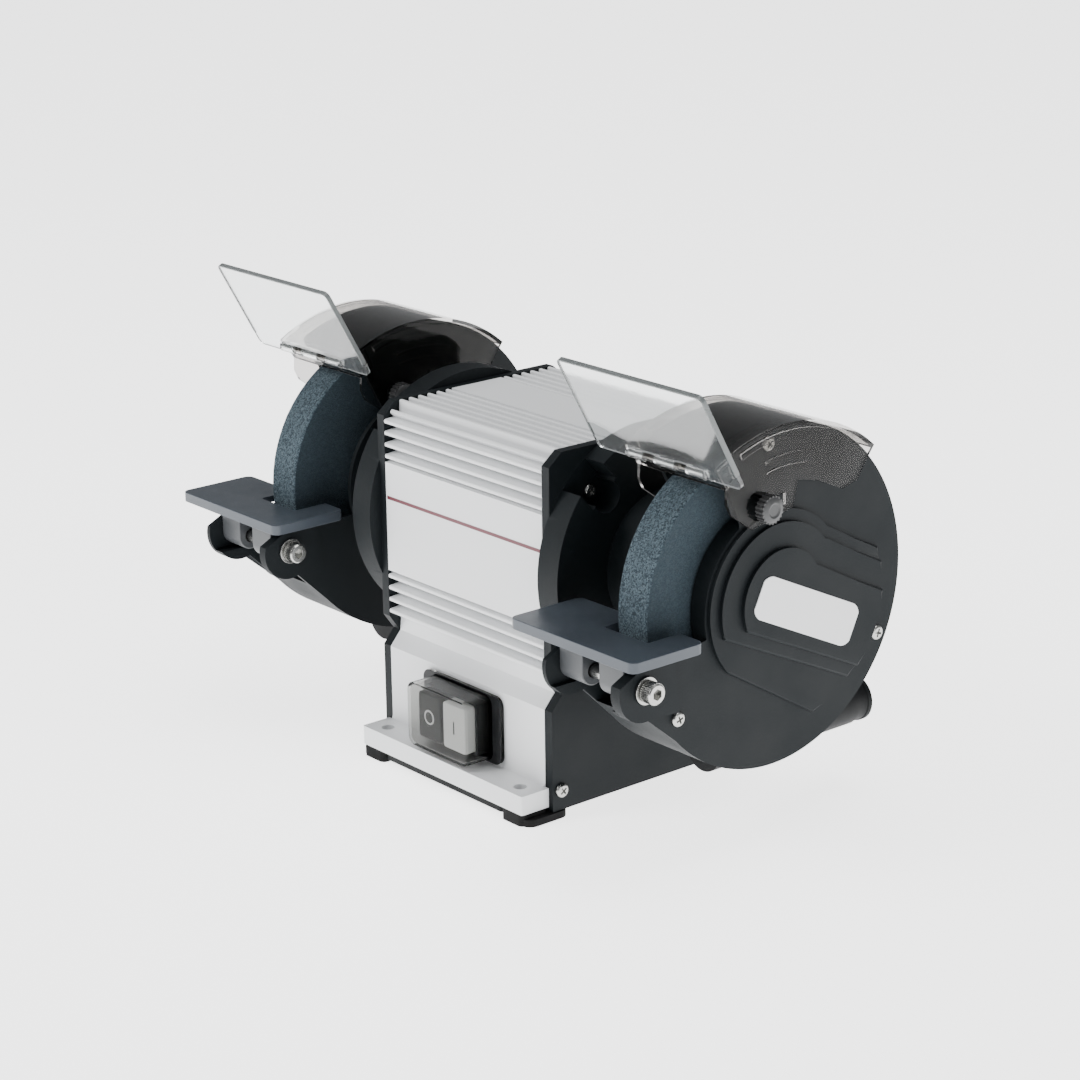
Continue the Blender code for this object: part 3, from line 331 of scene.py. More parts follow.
white_coat = finish("white_powder_coat", ((0.755, 0.765, 0.775), (0.80, 0.81, 0.815)), 14.0, (0.34, 0.44),
                    2600.0, 0.00004, Coat_Weight=0.12, Coat_Roughness=0.35)
flange_holes = [("cut", rod(0.0, 0.05, HOLE_R, (x, y), 40, "Z")) for x in (-HOLE_X, HOLE_X)
                for y in (-HOLE_Y, HOLE_Y)]
flanges = [("join", block((-FLANGE_END, s * 0.0700, FLANGE_BOTTOM),
                          (FLANGE_END, s * FLANGE_REACH, FLANGE_TOP), 0.0012)) for s in (-1, 1)]
end_reliefs = [("cut", block((s * BODY_END, -0.0742, 0.0), (s * 0.09, 0.0742, 0.03))) for s in (-1, 1)]
inside = BODY_HALF - HOUSING_WALL
cavity = prism([(-inside, 0.0), (inside, 0.0), (inside, 0.0654), (inside - NECK_DEPTH, 0.084),
                (-inside + NECK_DEPTH, 0.084), (-inside, 0.0654)], -THROUGH, THROUGH)
switch_window = block((-0.0265, -0.09, 0.026), (0.0265, 0.0, 0.062), 0.002, "Y")
housing = forge("housing_body", prism(both_halves(core_half()), -BODY_END, BODY_END),
                flanges + end_reliefs + [bore(STATOR_BORE, AXIS, 96), ("cut", cavity), ("cut", switch_window),
                                         ("cut", rod(0.0, 0.09, 0.0085, (-0.040, 0.042), 40, "Y"))]
                + flange_holes, 0.0006, 3)
fit(housing, white_coat, "grinder_frame", "white_coated_aluminium", "motor_housing")


def begin_tree(name, *inputs):
    """Node tree with a geometry output, and inputs given as (name, kind) or (name, kind, value)."""
    tree = bpy.data.node_groups.new(name, "GeometryNodeTree")
    tree.interface.new_socket("Geometry", in_out="OUTPUT", socket_type="NodeSocketGeometry")
    for label, kind, *value in inputs + (("Material", "Material"),):
        socket = tree.interface.new_socket(label, in_out="INPUT", socket_type="NodeSocket" + kind)
        if value:
            socket.default_value = value[0]
    return tree, tree.nodes.new, tree.nodes.new("NodeGroupInput").outputs


def end_tree(tree, given, geometry, *pairs):
    """Link the pairs of sockets, realise the geometry, set its material and hand it out."""
    real, paint, done = (tree.nodes.new("GeometryNodeRealizeInstances"),
                         tree.nodes.new("GeometryNodeSetMaterial"), tree.nodes.new("NodeGroupOutput"))
    for start, end in pairs + ((geometry, real.inputs["Geometry"]),
                               (real.outputs["Geometry"], paint.inputs["Geometry"]),
                               (given["Material"], paint.inputs["Material"]),
                               (paint.outputs["Geometry"], done.inputs["Geometry"])):
        tree.links.new(start, end)
    return tree


def fin_tree():
    """Row of straight fins: a trapezoid swept along X, set out in steps and tilted outwards."""
    tree, new, given = begin_tree("cooling_fins", *((name, "Float")
                                                    for name in ("Length", "Depth", "Tip", "Root", "Rounding",
                                                                 "Tilt")), ("Count", "Int"),
                                  ("First", "Vector"), ("Step", "Vector"))
    half, minus = new("ShaderNodeMath"), new("ShaderNodeMath")
    for node, share in ((half, 0.5), (minus, -0.5)):
        node.operation = "MULTIPLY"
        node.inputs[1].default_value = share
    start, end, turn = (new("ShaderNodeCombineXYZ") for _ in range(3))
    path, section = new("GeometryNodeCurvePrimitiveLine"), new("GeometryNodeCurvePrimitiveQuadrilateral")
    softened, sweep = new("GeometryNodeFilletCurve"), new("GeometryNodeCurveToMesh")
    row, copies, tilt = (new("GeometryNodeMeshLine"), new("GeometryNodeInstanceOnPoints"),
                         new("FunctionNodeEulerToRotation"))
    section.mode = "TRAPEZOID"
    section.inputs["Offset"].default_value = 0.0
    softened.mode = "POLY"
    softened.inputs["Count"].default_value = 4
    sweep.inputs["Fill Caps"].default_value = True
    return end_tree(
        tree, given, copies.outputs["Instances"],
        (given["Length"], half.inputs[0]), (given["Length"], minus.inputs[0]),
        (minus.outputs[0], start.inputs["X"]), (half.outputs[0], end.inputs["X"]),
        (start.outputs[0], path.inputs["Start"]), (end.outputs[0], path.inputs["End"]),
        (given["Depth"], section.inputs["Height"]), (given["Tip"], section.inputs["Bottom Width"]),
        (given["Root"], section.inputs["Top Width"]), (section.outputs["Curve"], softened.inputs["Curve"]),
        (given["Rounding"], softened.inputs["Radius"]), (path.outputs["Curve"], sweep.inputs["Curve"]),
        (softened.outputs["Curve"], sweep.inputs["Profile Curve"]), (given["Count"], row.inputs["Count"]),
        (given["First"], row.inputs["Start Location"]), (given["Step"], row.inputs["Offset"]),
        (row.outputs["Mesh"], copies.inputs["Points"]), (sweep.outputs["Mesh"], copies.inputs["Instance"]),
        (given["Tilt"], turn.inputs["X"]), (turn.outputs[0], tilt.inputs["Euler"]),
        (tilt.outputs[0], copies.inputs["Rotation"]))


def grow(name, tree, host=None, **values):
    """Run a node tree on a new piece with its named inputs set, and keep the plain mesh."""
    piece = bpy.data.objects.new(name, host or bpy.data.meshes.new(name))
    bpy.context.scene.collection.objects.link(piece)
    modifier = piece.modifiers.new("grow", "NODES")
    modifier.node_group = tree
    sockets = {item.name: item.identifier for item in tree.interface.items_tree if item.in_out == "INPUT"}
    for key, value in values.items():
        modifier[sockets[key]] = value
    return settle(piece)


fins = fin_tree()
TOP_PITCH = (BODY_HALF - CHAMFER_Y - PANEL_HALF) / 6
UPPER_PITCH = UPPER_ROOM / 4
LOWER_PITCH = (PANEL_BOTTOM - UNDERSIDE) / 4
FIN_SINK = 0.0012
fin_rows = []
for s in (-1, 1):
    middle = FIN_DEPTH / 2 + FIN_SINK / 2
    fin_rows += [(f"top_{s}", 0.0, 6, (0.0, s * (PANEL_HALF + TOP_PITCH / 2), BODY_TOP - middle),
                  (0.0, s * TOP_PITCH, 0.0)), (f"shoulder_{s}", s * -math.radians(48), 1,
                                               (0.0, s * (BODY_HALF - CHAMFER_Y / 2 - 0.0042),
                                                BODY_TOP - CHAMFER_Z / 2 - 0.0052), (0.0, 0.0, 0.0)),
                 (f"upper_{s}", s * -math.pi / 2, 4, (0.0, s * (BODY_HALF - middle),
                                                      PANEL_TOP + UPPER_PITCH / 2), (0.0, 0.0, UPPER_PITCH)),
                 (f"lower_{s}", s * -math.pi / 2, 3, (0.0, s * (BODY_HALF - middle),
                                                      UNDERSIDE + 1.5 * LOWER_PITCH),
                  (0.0, 0.0, LOWER_PITCH)), (f"lowest_{s}", s * -math.pi / 2, 1,
                                             (0.0, s * (BODY_HALF - middle), UNDERSIDE + 0.5 * LOWER_PITCH),
                                             (0.0, 0.0, 0.0))]
for label, tilt, count, first, step in fin_rows:
    row = grow("fins_" + label.replace("-1", "front").replace("1", "rear"), fins,
               Length=2 * BODY_END - 0.0002, Depth=FIN_DEPTH + FIN_SINK, Tip=FIN_TIP, Root=FIN_ROOT,
               Rounding=0.0009, Tilt=tilt, Count=count, First=first, Step=step, Material=white_coat)
    row.data.shade_smooth()
    row.data.set_sharp_from_angle(angle=math.radians(40))
    fit(row, white_coat, "grinder_frame", "white_coated_aluminium")

# ------------------------------------------------------------------ printed line on the panel
# One thin dark-red line runs along the flat panel on the operator's side. It is screen-printed
# on the coat, so it stands out by no more than the thickness of the ink.
LINE_Z = 0.1687
LINE_HIGH = 0.0022
red_ink = finish("red_ink", ((0.105, 0.016, 0.026), (0.135, 0.020, 0.032)), 60.0, (0.35, 0.45), 900.0,
                 0.00001)
line = forge("panel_line", block((-BODY_END + 0.001, -BODY_HALF - 0.00012, LINE_Z - LINE_HIGH / 2),
                                 (BODY_END - 0.001, -BODY_HALF + 0.0004, LINE_Z + LINE_HIGH / 2), 0.0002), (),
             0.0)
fit(line, red_ink, "grinder_frame", "white_coated_aluminium")

# ------------------------------------------------------------------ base plate and feet
# A black pressed plate closes the pedestal from below, and a moulded rubber foot sits under each
# corner of the flange. The outer part of each foot reaches in under the end cover.
black_coat = finish("black_satin", ((0.0035, 0.0040, 0.0045), (0.0060, 0.0068, 0.0075)), 40.0, (0.50, 0.62),
                    1800.0, 0.00004, Specular_IOR_Level=0.14)
rubber = finish("foot_rubber", ((0.0045, 0.0045, 0.0046), (0.0080, 0.0080, 0.0084)), 70.0, (0.75, 0.9),
                1500.0, 0.00010, Specular_IOR_Level=0.20)
low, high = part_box("base_sheet")
sheet = forge("base_plate", block(low, high, 0.003),
              [("cut", block((-0.045, -0.045, 0.0), (0.045, 0.045, low.z + 0.0008), 0.01))], 0.0006, 2)
fit(sheet, black_coat, "grinder_frame", "black_base", "base_sheet")
for sx, end in SIDES:
    for sy, side in ((-1, "front"), (1, "rear")):
        node = f"foot_{side}_{end}"
        low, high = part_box(node)
        inner_x, outer_x = (sx * reach for reach in sorted((abs(low.x), abs(high.x))))
        inner_y, outer_y = (sy * reach for reach in sorted((abs(low.y), abs(high.y))))
        rail_x = sx * FLANGE_END
        tall = block((inner_x, sy * COVER_TOE, 0.0), (rail_x, outer_y, high.z), 0.004)
        pad = block((inner_x, inner_y, 0.0), (outer_x, outer_y - sy * 0.0015, 0.0046), 0.007)
        middle = ((inner_x + rail_x) / 2, (inner_y + outer_y) / 2 + sy * 0.002)
        foot = forge(node + "_rubber", tall, [("join", pad),
                                              ("cut", rod(-0.01, 0.0012, 0.0065, middle, 40, "Z")),
                                              ("cut", rod(-0.01, 0.0030, 0.0030, middle, 32, "Z"))], 0.0008,
                     3)
        fit(foot, rubber, "grinder_frame", "rubber", node)

# ------------------------------------------------------------------ end covers
# Cast aluminium covers with an anthracite texture coat close the motor at both ends and hold its
# bearings. The drum is notched for two long screws; two more screws sit low on the pedestal.
COVER_IN = 0.0763
COVER_OUT = 0.0830
COVER_BOTTOM = 0.0050
DRUM_END = 0.1000
DRUM_RADIUS = 0.0830
BEARING_END = 0.0960
BEARING_DEPTH = 0.0120
BEARING_ROOM = 0.0203
SCREW_RING = 0.0650
SCREW_TURN = 47.5
NOTCH_FLOOR = 0.0585
NOTCH_HALF = 0.0120
LOW_SCREWS = ((-0.0675, 0.0180), (0.0675, 0.0180))
SCREW_HOLE = 0.0024
BORE_REACH = 0.2


def span(a, b):
    return (min(a, b), max(a, b))


def mirrored(profile, side):
    return [(side * along, radius) for along, radius in profile]


def turned_outline(outline, degrees):
    """Outline given as (outwards, sideways) from the spindle, turned about it."""
    c, s = math.cos(math.radians(degrees)), math.sin(math.radians(degrees))
    return [(a * c - b * s, SPINDLE + a * s + b * c) for a, b in outline]


def spot(radius, degrees):
    return (radius * math.cos(math.radians(degrees)), SPINDLE + radius * math.sin(math.radians(degrees)))


def soft_prism(outline, start, end, radius, steps=4):
    """Prism along X whose edge at the far end is rolled over."""
    shape = prism(outline, start, end)
    rim = [e for e in shape.edges if all(abs(v.co.x - end) < 1e-7 for v in e.verts)]
    bmesh.ops.bevel(shape, geom=rim, offset=radius, segments=steps, profile=0.5, affect="EDGES",
                    clamp_overlap=True)
    return shape


def cross_screw(head, high):
    """Pan-head screw with a cross recess, its seat at the origin and its head towards +X."""
    dome = [(high * (0.30 + 0.70 * math.sin(math.radians(a))),
             head * (0.62 + 0.38 * math.cos(math.radians(a)))) for a in range(0, 91, 15)]
    blank = turned([(-0.003, 0.0), (-0.003, head * 0.5), (0.0, head * 0.5), (0.0, head)] + dome
                   + [(high, 0.0)], (0.0, 0.0), 40)
    arm, width, floor_x = head * 0.55, head * 0.12, high * 0.35
    return forge("cross_screw", blank, [("cut", block((floor_x, -arm, -width), (high + 0.001, arm, width),
                                                      0.0001, "X")), ("cut", block((floor_x, -width, -arm),
                                                                                   (high + 0.001, width, arm),
                                                                                   0.0001, "X"))], 0.00012, 2)


def screw_tree():
    """One screw on every point of a mesh, faced along X and turned at random about its own axis."""
    tree, new, given = begin_tree("set_of_screws", ("Points", "Geometry"), ("Screw", "Object"),
                                  ("Facing", "Float"), ("Seed", "Int"))
    screw, spin = new("GeometryNodeObjectInfo"), new("FunctionNodeRandomValue")
    turn, face = new("ShaderNodeCombineXYZ"), new("FunctionNodeEulerToRotation")
    copies = new("GeometryNodeInstanceOnPoints")
    spin.data_type = "FLOAT"
    spin.inputs[3].default_value = math.tau
    return end_tree(
        tree, given, copies.outputs["Instances"],
        (given["Screw"], screw.inputs["Object"]), (given["Seed"], spin.inputs["Seed"]),
        (spin.outputs[1], turn.inputs["X"]), (given["Facing"], turn.inputs["Z"]),
        (turn.outputs[0], face.inputs["Euler"]), (given["Points"], copies.inputs["Points"]),
        (screw.outputs["Geometry"], copies.inputs["Instance"]), (face.outputs[0], copies.inputs["Rotation"]))


def set_screws(name, places, screw, side, seed, material):
    """Screws on a list of (x, y, z) seats, facing away from the motor on that side."""
    seats = bpy.data.meshes.new(name + "_seats")
    seats.from_pydata(places, [], [])
    piece = grow(name, screws, seats, Screw=screw, Facing=0.0 if side > 0 else math.pi, Seed=seed,
                 Material=material)
    fit(piece, material, "grinder_frame", "bright_steel")


anthracite = finish("anthracite_texture_coat", ((0.0045, 0.0066, 0.0078), (0.0072, 0.0098, 0.0114)), 26.0,
                    (0.50, 0.62), 1500.0, 0.00009, Specular_IOR_Level=0.16)
zinc = finish("bright_zinc", ((0.34, 0.34, 0.33), (0.50, 0.50, 0.48)), 160.0, (0.16, 0.30), 1400.0, 0.00002,
              1.0)
screws = screw_tree()
pan_screw = cross_screw(0.0046, 0.0026)
pan_screw.hide_render = True
cover_outline = both_halves([(BODY_HALF - CHAMFER_Y, BODY_TOP), (BODY_HALF, BODY_TOP - CHAMFER_Z),
                             (BODY_HALF, UNDERSIDE), (BODY_HALF - NECK_DEPTH, NECK_Z),
                             (BODY_HALF, PEDESTAL_TOP), (BODY_HALF, COVER_BOTTOM)])
for s, side in SIDES:
    drum = [(COVER_IN - 0.006, 0.0557), (COVER_IN - 0.006, 0.0597), (COVER_IN + 0.002, 0.0597),
            (COVER_IN + 0.002, 0.070), (COVER_OUT - 0.001, 0.070), (COVER_OUT - 0.001, DRUM_RADIUS),
            (DRUM_END, DRUM_RADIUS), (DRUM_END, 0.012), (BEARING_END + CLEAR, 0.012),
            (BEARING_END + CLEAR, BEARING_ROOM), (BEARING_END - BEARING_DEPTH - 0.001, BEARING_ROOM),
            (BEARING_END - BEARING_DEPTH - 0.001, 0.025), (BEARING_END, 0.025), (BEARING_END, 0.0520),
            (COVER_OUT - 0.001, 0.0520), (COVER_OUT - 0.001, 0.0557)]
    changes = [bore(0.0620, AXIS, 64, BORE_REACH), ("join", turned(mirrored(drum, s), AXIS, 144))]
    seats = []
    for turn in (SCREW_TURN, 180 - SCREW_TURN):
        notch = [(NOTCH_FLOOR + 0.0095, -NOTCH_HALF), (0.12, -NOTCH_HALF), (0.12, NOTCH_HALF),
                 (NOTCH_FLOOR + 0.0095, NOTCH_HALF)]
        changes += [("cut", prism(turned_outline(notch, turn), *span(s * (COVER_OUT + CLEAR), s * 0.12))),
                    ("cut", rod(*span(s * (COVER_OUT + 0.0005), s * 0.12), 0.0098, spot(SCREW_RING, turn),
                                48)), bore(SCREW_HOLE, spot(SCREW_RING, turn), reach=BORE_REACH)]
        seats.append((s * (COVER_OUT + 0.0005), *spot(SCREW_RING, turn)))
    for y, z in LOW_SCREWS:
        changes.append(bore(SCREW_HOLE, (y, z), reach=BORE_REACH))
        seats.append((s * COVER_OUT, y, z))
    cover = forge(f"end_casting_{side}", prism(cover_outline, *span(s * COVER_IN, s * COVER_OUT)), changes,
                  0.0009, 3)
    fit(cover, anthracite, "grinder_frame", "anthracite_casting", f"end_cover_{side}")
    set_screws(f"end_screws_{side}", seats, pan_screw, s, 3 + s, zinc)

# ------------------------------------------------------------------ switch and its cover
# A double push switch with a dark stop key and a white start key is clipped into the pedestal.
# A moulded smoky splash cover on a thin dark frame is sealed over it.
SWITCH_Z = 0.0440
COVER_FACE = -0.0970
COVER_HALF = (0.0295, 0.0210)
FRAME_HALF = (0.0380, 0.0220)
KEY_HALF = (0.01075, 0.0150)
KEY_MIDDLE = 0.01225
KEY_ROOM = 0.0005
WELL_DEPTH = 0.0105
COVER_WALL = 0.0015
COVER_ROUND = 0.0060
FRAME_THICK = 0.0025
CAP_SHORT = 0.0006
WALL_FACE = -BODY_HALF - CLEAR
smoke = finish("smoky_soft_plastic", ((0.60, 0.60, 0.585), (0.65, 0.65, 0.635)), 20.0, (0.04, 0.08), 500.0,
               0.00001, Transmission_Weight=1.0, IOR=1.15)
dark_plastic = finish("dark_moulded_plastic", ((0.006, 0.007, 0.008), (0.010, 0.011, 0.012)), 60.0,
                      (0.34, 0.46), 1800.0, 0.00003, Specular_IOR_Level=0.25)
white_plastic = finish("white_moulded_plastic", ((0.74, 0.75, 0.76), (0.79, 0.80, 0.80)), 60.0, (0.28, 0.38),
                       1800.0, 0.00002)


def switch_box(half, grown, front, rear, radius, x=0.0):
    """Box at the switch's height, as wide and high as the given halves grown on each side."""
    across, up = half[0] + grown, half[1] + grown
    return block((x - across, front, SWITCH_Z - up), (x + across, rear, SWITCH_Z + up), radius, "Y")


cover_shell = forge("splash_cover", switch_box(COVER_HALF, 0.0, COVER_FACE, WALL_FACE, COVER_ROUND),
                    [("join", switch_box(FRAME_HALF, 0.0, WALL_FACE - FRAME_THICK, WALL_FACE, COVER_ROUND)),
                     ("cut", switch_box(COVER_HALF, -COVER_WALL, COVER_FACE + COVER_WALL, 0.0, 0.0048))],
                    0.0006, 4)
fit(cover_shell, smoke, "grinder_frame", "smoked_plastic", "switch_boot")
frame_ring = forge("splash_cover_frame",
                   switch_box(FRAME_HALF, 0.0002, WALL_FACE - 0.0031, WALL_FACE - 0.0026, COVER_ROUND),
                   [("cut", switch_box(COVER_HALF, 0.0004, -0.2, 0.0, COVER_ROUND))], 0.00015, 2)
fit(frame_ring, dark_plastic, "grinder_frame", "switch_dark")
low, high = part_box("switch_body")
wells = [("cut", switch_box(KEY_HALF, KEY_ROOM, low.y - 0.01, low.y + WELL_DEPTH, 0.0024, x))
         for x in (-KEY_MIDDLE, KEY_MIDDLE)]
fit(forge("switch_case", block(low, high, 0.0015, "Y"), wells, 0.0005, 3), dark_plastic, "grinder_frame",
    "switch_dark", "switch_body")
for key, x, plastic, slot_name in (("stop", -KEY_MIDDLE, dark_plastic, "switch_dark"),
                                   ("start", KEY_MIDDLE, white_plastic, "switch_white")):
    low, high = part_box(key + "_button")
    face = low.y
    cap = forge(key + "_key_cap", block(low, (high.x, high.y - CAP_SHORT, high.z), 0.0020, "Y"), (), 0.0010,
                4)
    fit(cap, plastic, key + "_key", slot_name, key + "_button")
    if key == "stop":
        mark = turned([(face - 0.0001, 0.0036), (face - 0.0001, 0.0048), (face + 0.0006, 0.0048),
                       (face + 0.0006, 0.0036)], (x, SWITCH_Z), 64, "Y")
    else:
        mark = block((x - 0.0006, face - 0.0001, SWITCH_Z - 0.0042),
                     (x + 0.0006, face + 0.0006, SWITCH_Z + 0.0042), 0.0003, "Y")
    fit(forge(key + "_power_mark", mark, (), 0.0), white_plastic if key == "stop" else dark_plastic,
        key + "_key", "switch_white" if key == "stop" else "switch_dark")

# ------------------------------------------------------------------ wheel guards
# Each wheel runs in a cast guard: an inner shell on a hub, and a dished cover held on by three
# screws. Both carry half of the ear for the tool rest; the cover has a stepped pad for its plate.
WHEEL_X = 0.170
GUARD_R = 0.103
GUARD_WALL = 0.0032
GUARD_IN = 0.0300
GUARD_OUT = 0.0255
COVER_RIM = 0.0060
HUB_OUT = 0.0450
HUB_IN = 0.0390
OPENING_R = 0.0550
OPENING_TOP = 118.0
OPENING_Z = SPINDLE - 0.0160
OPENING_BOTTOM = 180.0 + math.degrees(math.asin(0.0160 / OPENING_R))
RIM_END = -138.0
RIM_FLAT = 0.0160
BOLT = (-0.107, 0.126)
BOLT_WAY = 0.0045
EAR_R = 0.0190
EAR_FACE = 0.0332
LUG_SPANS = ((-0.0297, -0.0097), (0.0043, 0.0253))
COVER_SCREWS = ((0.0940, 216.0), (0.0940, -26.0), (0.0940, 95.0))
PAD_TILT = -25.0
PAD_REACH = 0.0840
PADS = ((0.0530, 0.0470, 0.0580, 0.0025), (0.0460, 0.0400, 0.0320, 0.0050), (0.0310, 0.0240, 0.0240, 0.0075))
KNOB_RING = 0.0622
KNOB_TURN = 106.8
KNOB_SPOT = spot(KNOB_RING, KNOB_TURN)
HOOD_RIGHT = 0.0353
SPOUT_MIDDLE = (0.0130, 0.0545)
SPOUT_R = 0.0145
SPOUT_BORE = SPOUT_R - 0.0022
SPOUT_WAIST = SPOUT_R - 0.0006


def guard_outline():
    """Disc cut open towards the operator, with an ear for the rest's bolt."""
    return (arc(GUARD_R, OPENING_TOP, RIM_END, step=2.0) + arc(EAR_R, -70.0, -195.0, BOLT, 6.0)
            + [(BOLT[0] - 0.004, OPENING_Z)] + arc(OPENING_R, OPENING_BOTTOM, OPENING_TOP, step=3.0))


def guard_room():
    points = arc(GUARD_R - GUARD_WALL, OPENING_TOP, RIM_END, step=2.0)
    low, high = spot(GUARD_R, RIM_END), arc(EAR_R, -70.0, -195.0, BOLT, 6.0)[0]
    length = math.dist(low, high)
    along = ((high[0] - low[0]) / length, (high[1] - low[1]) / length)
    tip = (low[0] + along[0] * RIM_FLAT + along[1] * GUARD_WALL,
           low[1] + along[1] * RIM_FLAT - along[0] * GUARD_WALL)
    return points + [tip, (-0.2, tip[1]), (-0.2, points[0][1])]


def ear(centre, direction, plate_middle):
    """Half of the rest's ear, and the room that the rest's lug needs in it."""
    outline = arc(EAR_R, -70.0, -195.0, BOLT, 6.0) + [(BOLT[0] - 0.004, OPENING_Z),
                                                      (BOLT[0] + 0.022, OPENING_Z),
                                                      (BOLT[0] + 0.026, BOLT[1] - 0.020)]
    reach = centre + (LUG_SPANS[0][0] - CLEAR if direction < 0 else LUG_SPANS[1][1] + CLEAR)
    room = block((centre, -0.20, BOLT[1] - 0.0115), (reach, BOLT[0] + 0.0125, 0.20), 0.0004, "X")
    return [("join", prism(outline, *span(plate_middle, centre + direction * EAR_FACE))), ("cut", room)]


def pad_outline(radius, top, bottom):
    """Step of the pad: round in front, slanting above and below."""
    start = math.degrees(math.asin(top / radius))
    end = 180 + math.degrees(math.asin(min(bottom / radius, 0.94)))
    outline = arc(radius, start, end, (0.0, 0.0), 4.0)
    outline += arc(PAD_REACH, -math.degrees(math.asin(bottom / PAD_REACH)),
                   math.degrees(math.asin(top / PAD_REACH)), (0.0, 0.0), 6.0)
    return turned_outline(outline, PAD_TILT)


plate_white = finish("label_foil", ((0.80, 0.805, 0.81), (0.84, 0.845, 0.85)), 30.0, (0.30, 0.40), 300.0,
                     0.00002, Coat_Weight=0.25, Coat_Roughness=0.12)
for s, side in SIDES:
    centre = s * WHEEL_X
    wall_in = centre - s * GUARD_IN
    wall_out = wall_in + s * GUARD_WALL
    face = centre + s * GUARD_OUT
    plate_in = face - s * GUARD_WALL
    rim_end = face - s * (COVER_RIM + CLEAR)
    spout = (centre - s * SPOUT_MIDDLE[0], SPOUT_MIDDLE[1])
    hub = mirrored([(DRUM_END + CLEAR, HUB_IN), (DRUM_END + CLEAR, HUB_OUT), (abs(wall_in) + 0.001, HUB_OUT),
                    (abs(wall_in) + 0.001, HUB_IN)], s)
    boss = [("join", rod(*span((face if s > 0 else wall_in) - 0.001, centre + HOOD_RIGHT - 0.0022 - CLEAR),
                         0.0062, KNOB_SPOT, 40)), ("cut", rod(centre + HOOD_RIGHT - 0.0085,
                                                              centre + HOOD_RIGHT + 0.02, 0.0033, KNOB_SPOT,
                                                              24))]
    posts = [("join", rod(*span(wall_out - s * 0.001, plate_in - s * CLEAR), 0.0050, spot(*seat), 24))
             for seat in COVER_SCREWS]
    shell = forge(f"guard_casting_{side}", prism(guard_outline(), *span(wall_in, rim_end)),
                  [("cut", prism(guard_room(), *span(wall_out, centre + s * 0.06))),
                   ("join", turned(hub, AXIS, 96)), bore(0.0125, AXIS, 48),
                   ("cut", rod(0.010, 0.15, SPOUT_BORE, spout, 48, "Y"))]
                  + ear(centre, -s, wall_in + s * GUARD_WALL / 2) + [bore(BOLT_WAY, BOLT, 32)] + posts
                  + ([] if s > 0 else boss), 0.0007, 3)
    fit(shell, anthracite, "grinder_frame", "anthracite_casting", f"guard_shell_{side}")
    lip = (arc(OPENING_R - GUARD_WALL, OPENING_TOP, OPENING_BOTTOM, step=4.0)
           + arc(OPENING_R - 0.00015, OPENING_BOTTOM, OPENING_TOP, step=4.0))
    pads = [("join", soft_prism(pad_outline(radius, top, bottom), face - s * 0.001, face + s * rise, 0.0016))
            for radius, top, bottom, rise in PADS]
    holes = [bore(SCREW_HOLE, spot(*seat)) for seat in COVER_SCREWS]
    cover = forge(f"guard_lid_{side}", soft_prism(guard_outline(), rim_end + s * CLEAR, face, 0.0028, 5),
                  [("cut", prism(guard_room(), *span(rim_end - s * 0.01, plate_in))),
                   ("join", prism(lip, *span(centre + s * 0.0137, plate_in + s * 0.001)))] + pads
                  + [("cut", rod(*span(plate_in - s * 0.01, face + s * (PADS[-1][3] - GUARD_WALL)), 0.0230,
                                 AXIS, 64))] + ear(centre, s, face - s * GUARD_WALL / 2)
                  + [bore(BOLT_WAY, BOLT, 32)] + holes + (boss if s > 0 else []), 0.0008, 3)
    fit(cover, anthracite, "grinder_frame", "anthracite_casting", f"guard_cover_{side}")
    set_screws(f"guard_screws_{side}", [(face, *spot(*seat)) for seat in COVER_SCREWS], pan_screw, s, 20 + s,
               zinc)
    long_half, high_half, bulge = 0.0405, 0.0131, 0.0042
    ends = [(a + math.copysign(bulge * (1 - (b / high_half) ** 2), a), b)
            for a, b in rounded((-long_half, -high_half), (long_half, high_half), 0.0045)]
    tilt = math.radians(PAD_TILT - 0.5)
    label = [(0.0190 + a * math.cos(tilt) - b * math.sin(tilt),
              0.1428 + a * math.sin(tilt) + b * math.cos(tilt)) for a, b in ends]
    foil = forge(f"blank_label_{side}", prism(label,
                                              *span(face + s * (PADS[-1][3] - 0.0002),
                                                    face + s * (PADS[-1][3] + 0.0005))), (), 0.0002, 2)
    fit(foil, plate_white, "grinder_frame", "white_coated_aluminium")
    low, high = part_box(f"dust_spout_{side}")
    pipe = forge(f"dust_pipe_{side}", turned([(low.y, 0.0), (low.y, SPOUT_R), (high.y - 0.012, SPOUT_R),
                                              (high.y - 0.010, SPOUT_WAIST), (high.y - 0.0035, SPOUT_WAIST),
                                              (high.y - 0.0028, SPOUT_R), (high.y, SPOUT_R),
                                              (high.y, SPOUT_BORE), (low.y + 0.004, SPOUT_BORE),
                                              (low.y + 0.004, 0.0)], spout, 72, "Y"),
                 [bore(GUARD_R + CLEAR, AXIS, 180)], 0.0004, 2)
    fit(pipe, black_coat, "grinder_frame", "black_base", f"dust_spout_{side}")

# ------------------------------------------------------------------ spindle, flanges and wheels
# A ground steel spindle carries both bonded-grit wheels between turned flanges, each held by a hex
# nut on a threaded end. The grit is coarse on the running edge and cut smoother on its sides.
WHEEL_R = 0.0875
WHEEL_HALF = 0.0125
WHEEL_BORE = 0.0160
FLANGE_R = 0.0400
FLANGE_THICK = 0.0048
SHAFT_R = 0.0080
THREAD_PITCH = 0.0015
THREAD_DEPTH = 0.0008
NUT_THICK = 0.0080
GRIT_STEP = 0.0013
GRIT_DEPTH = 0.00045


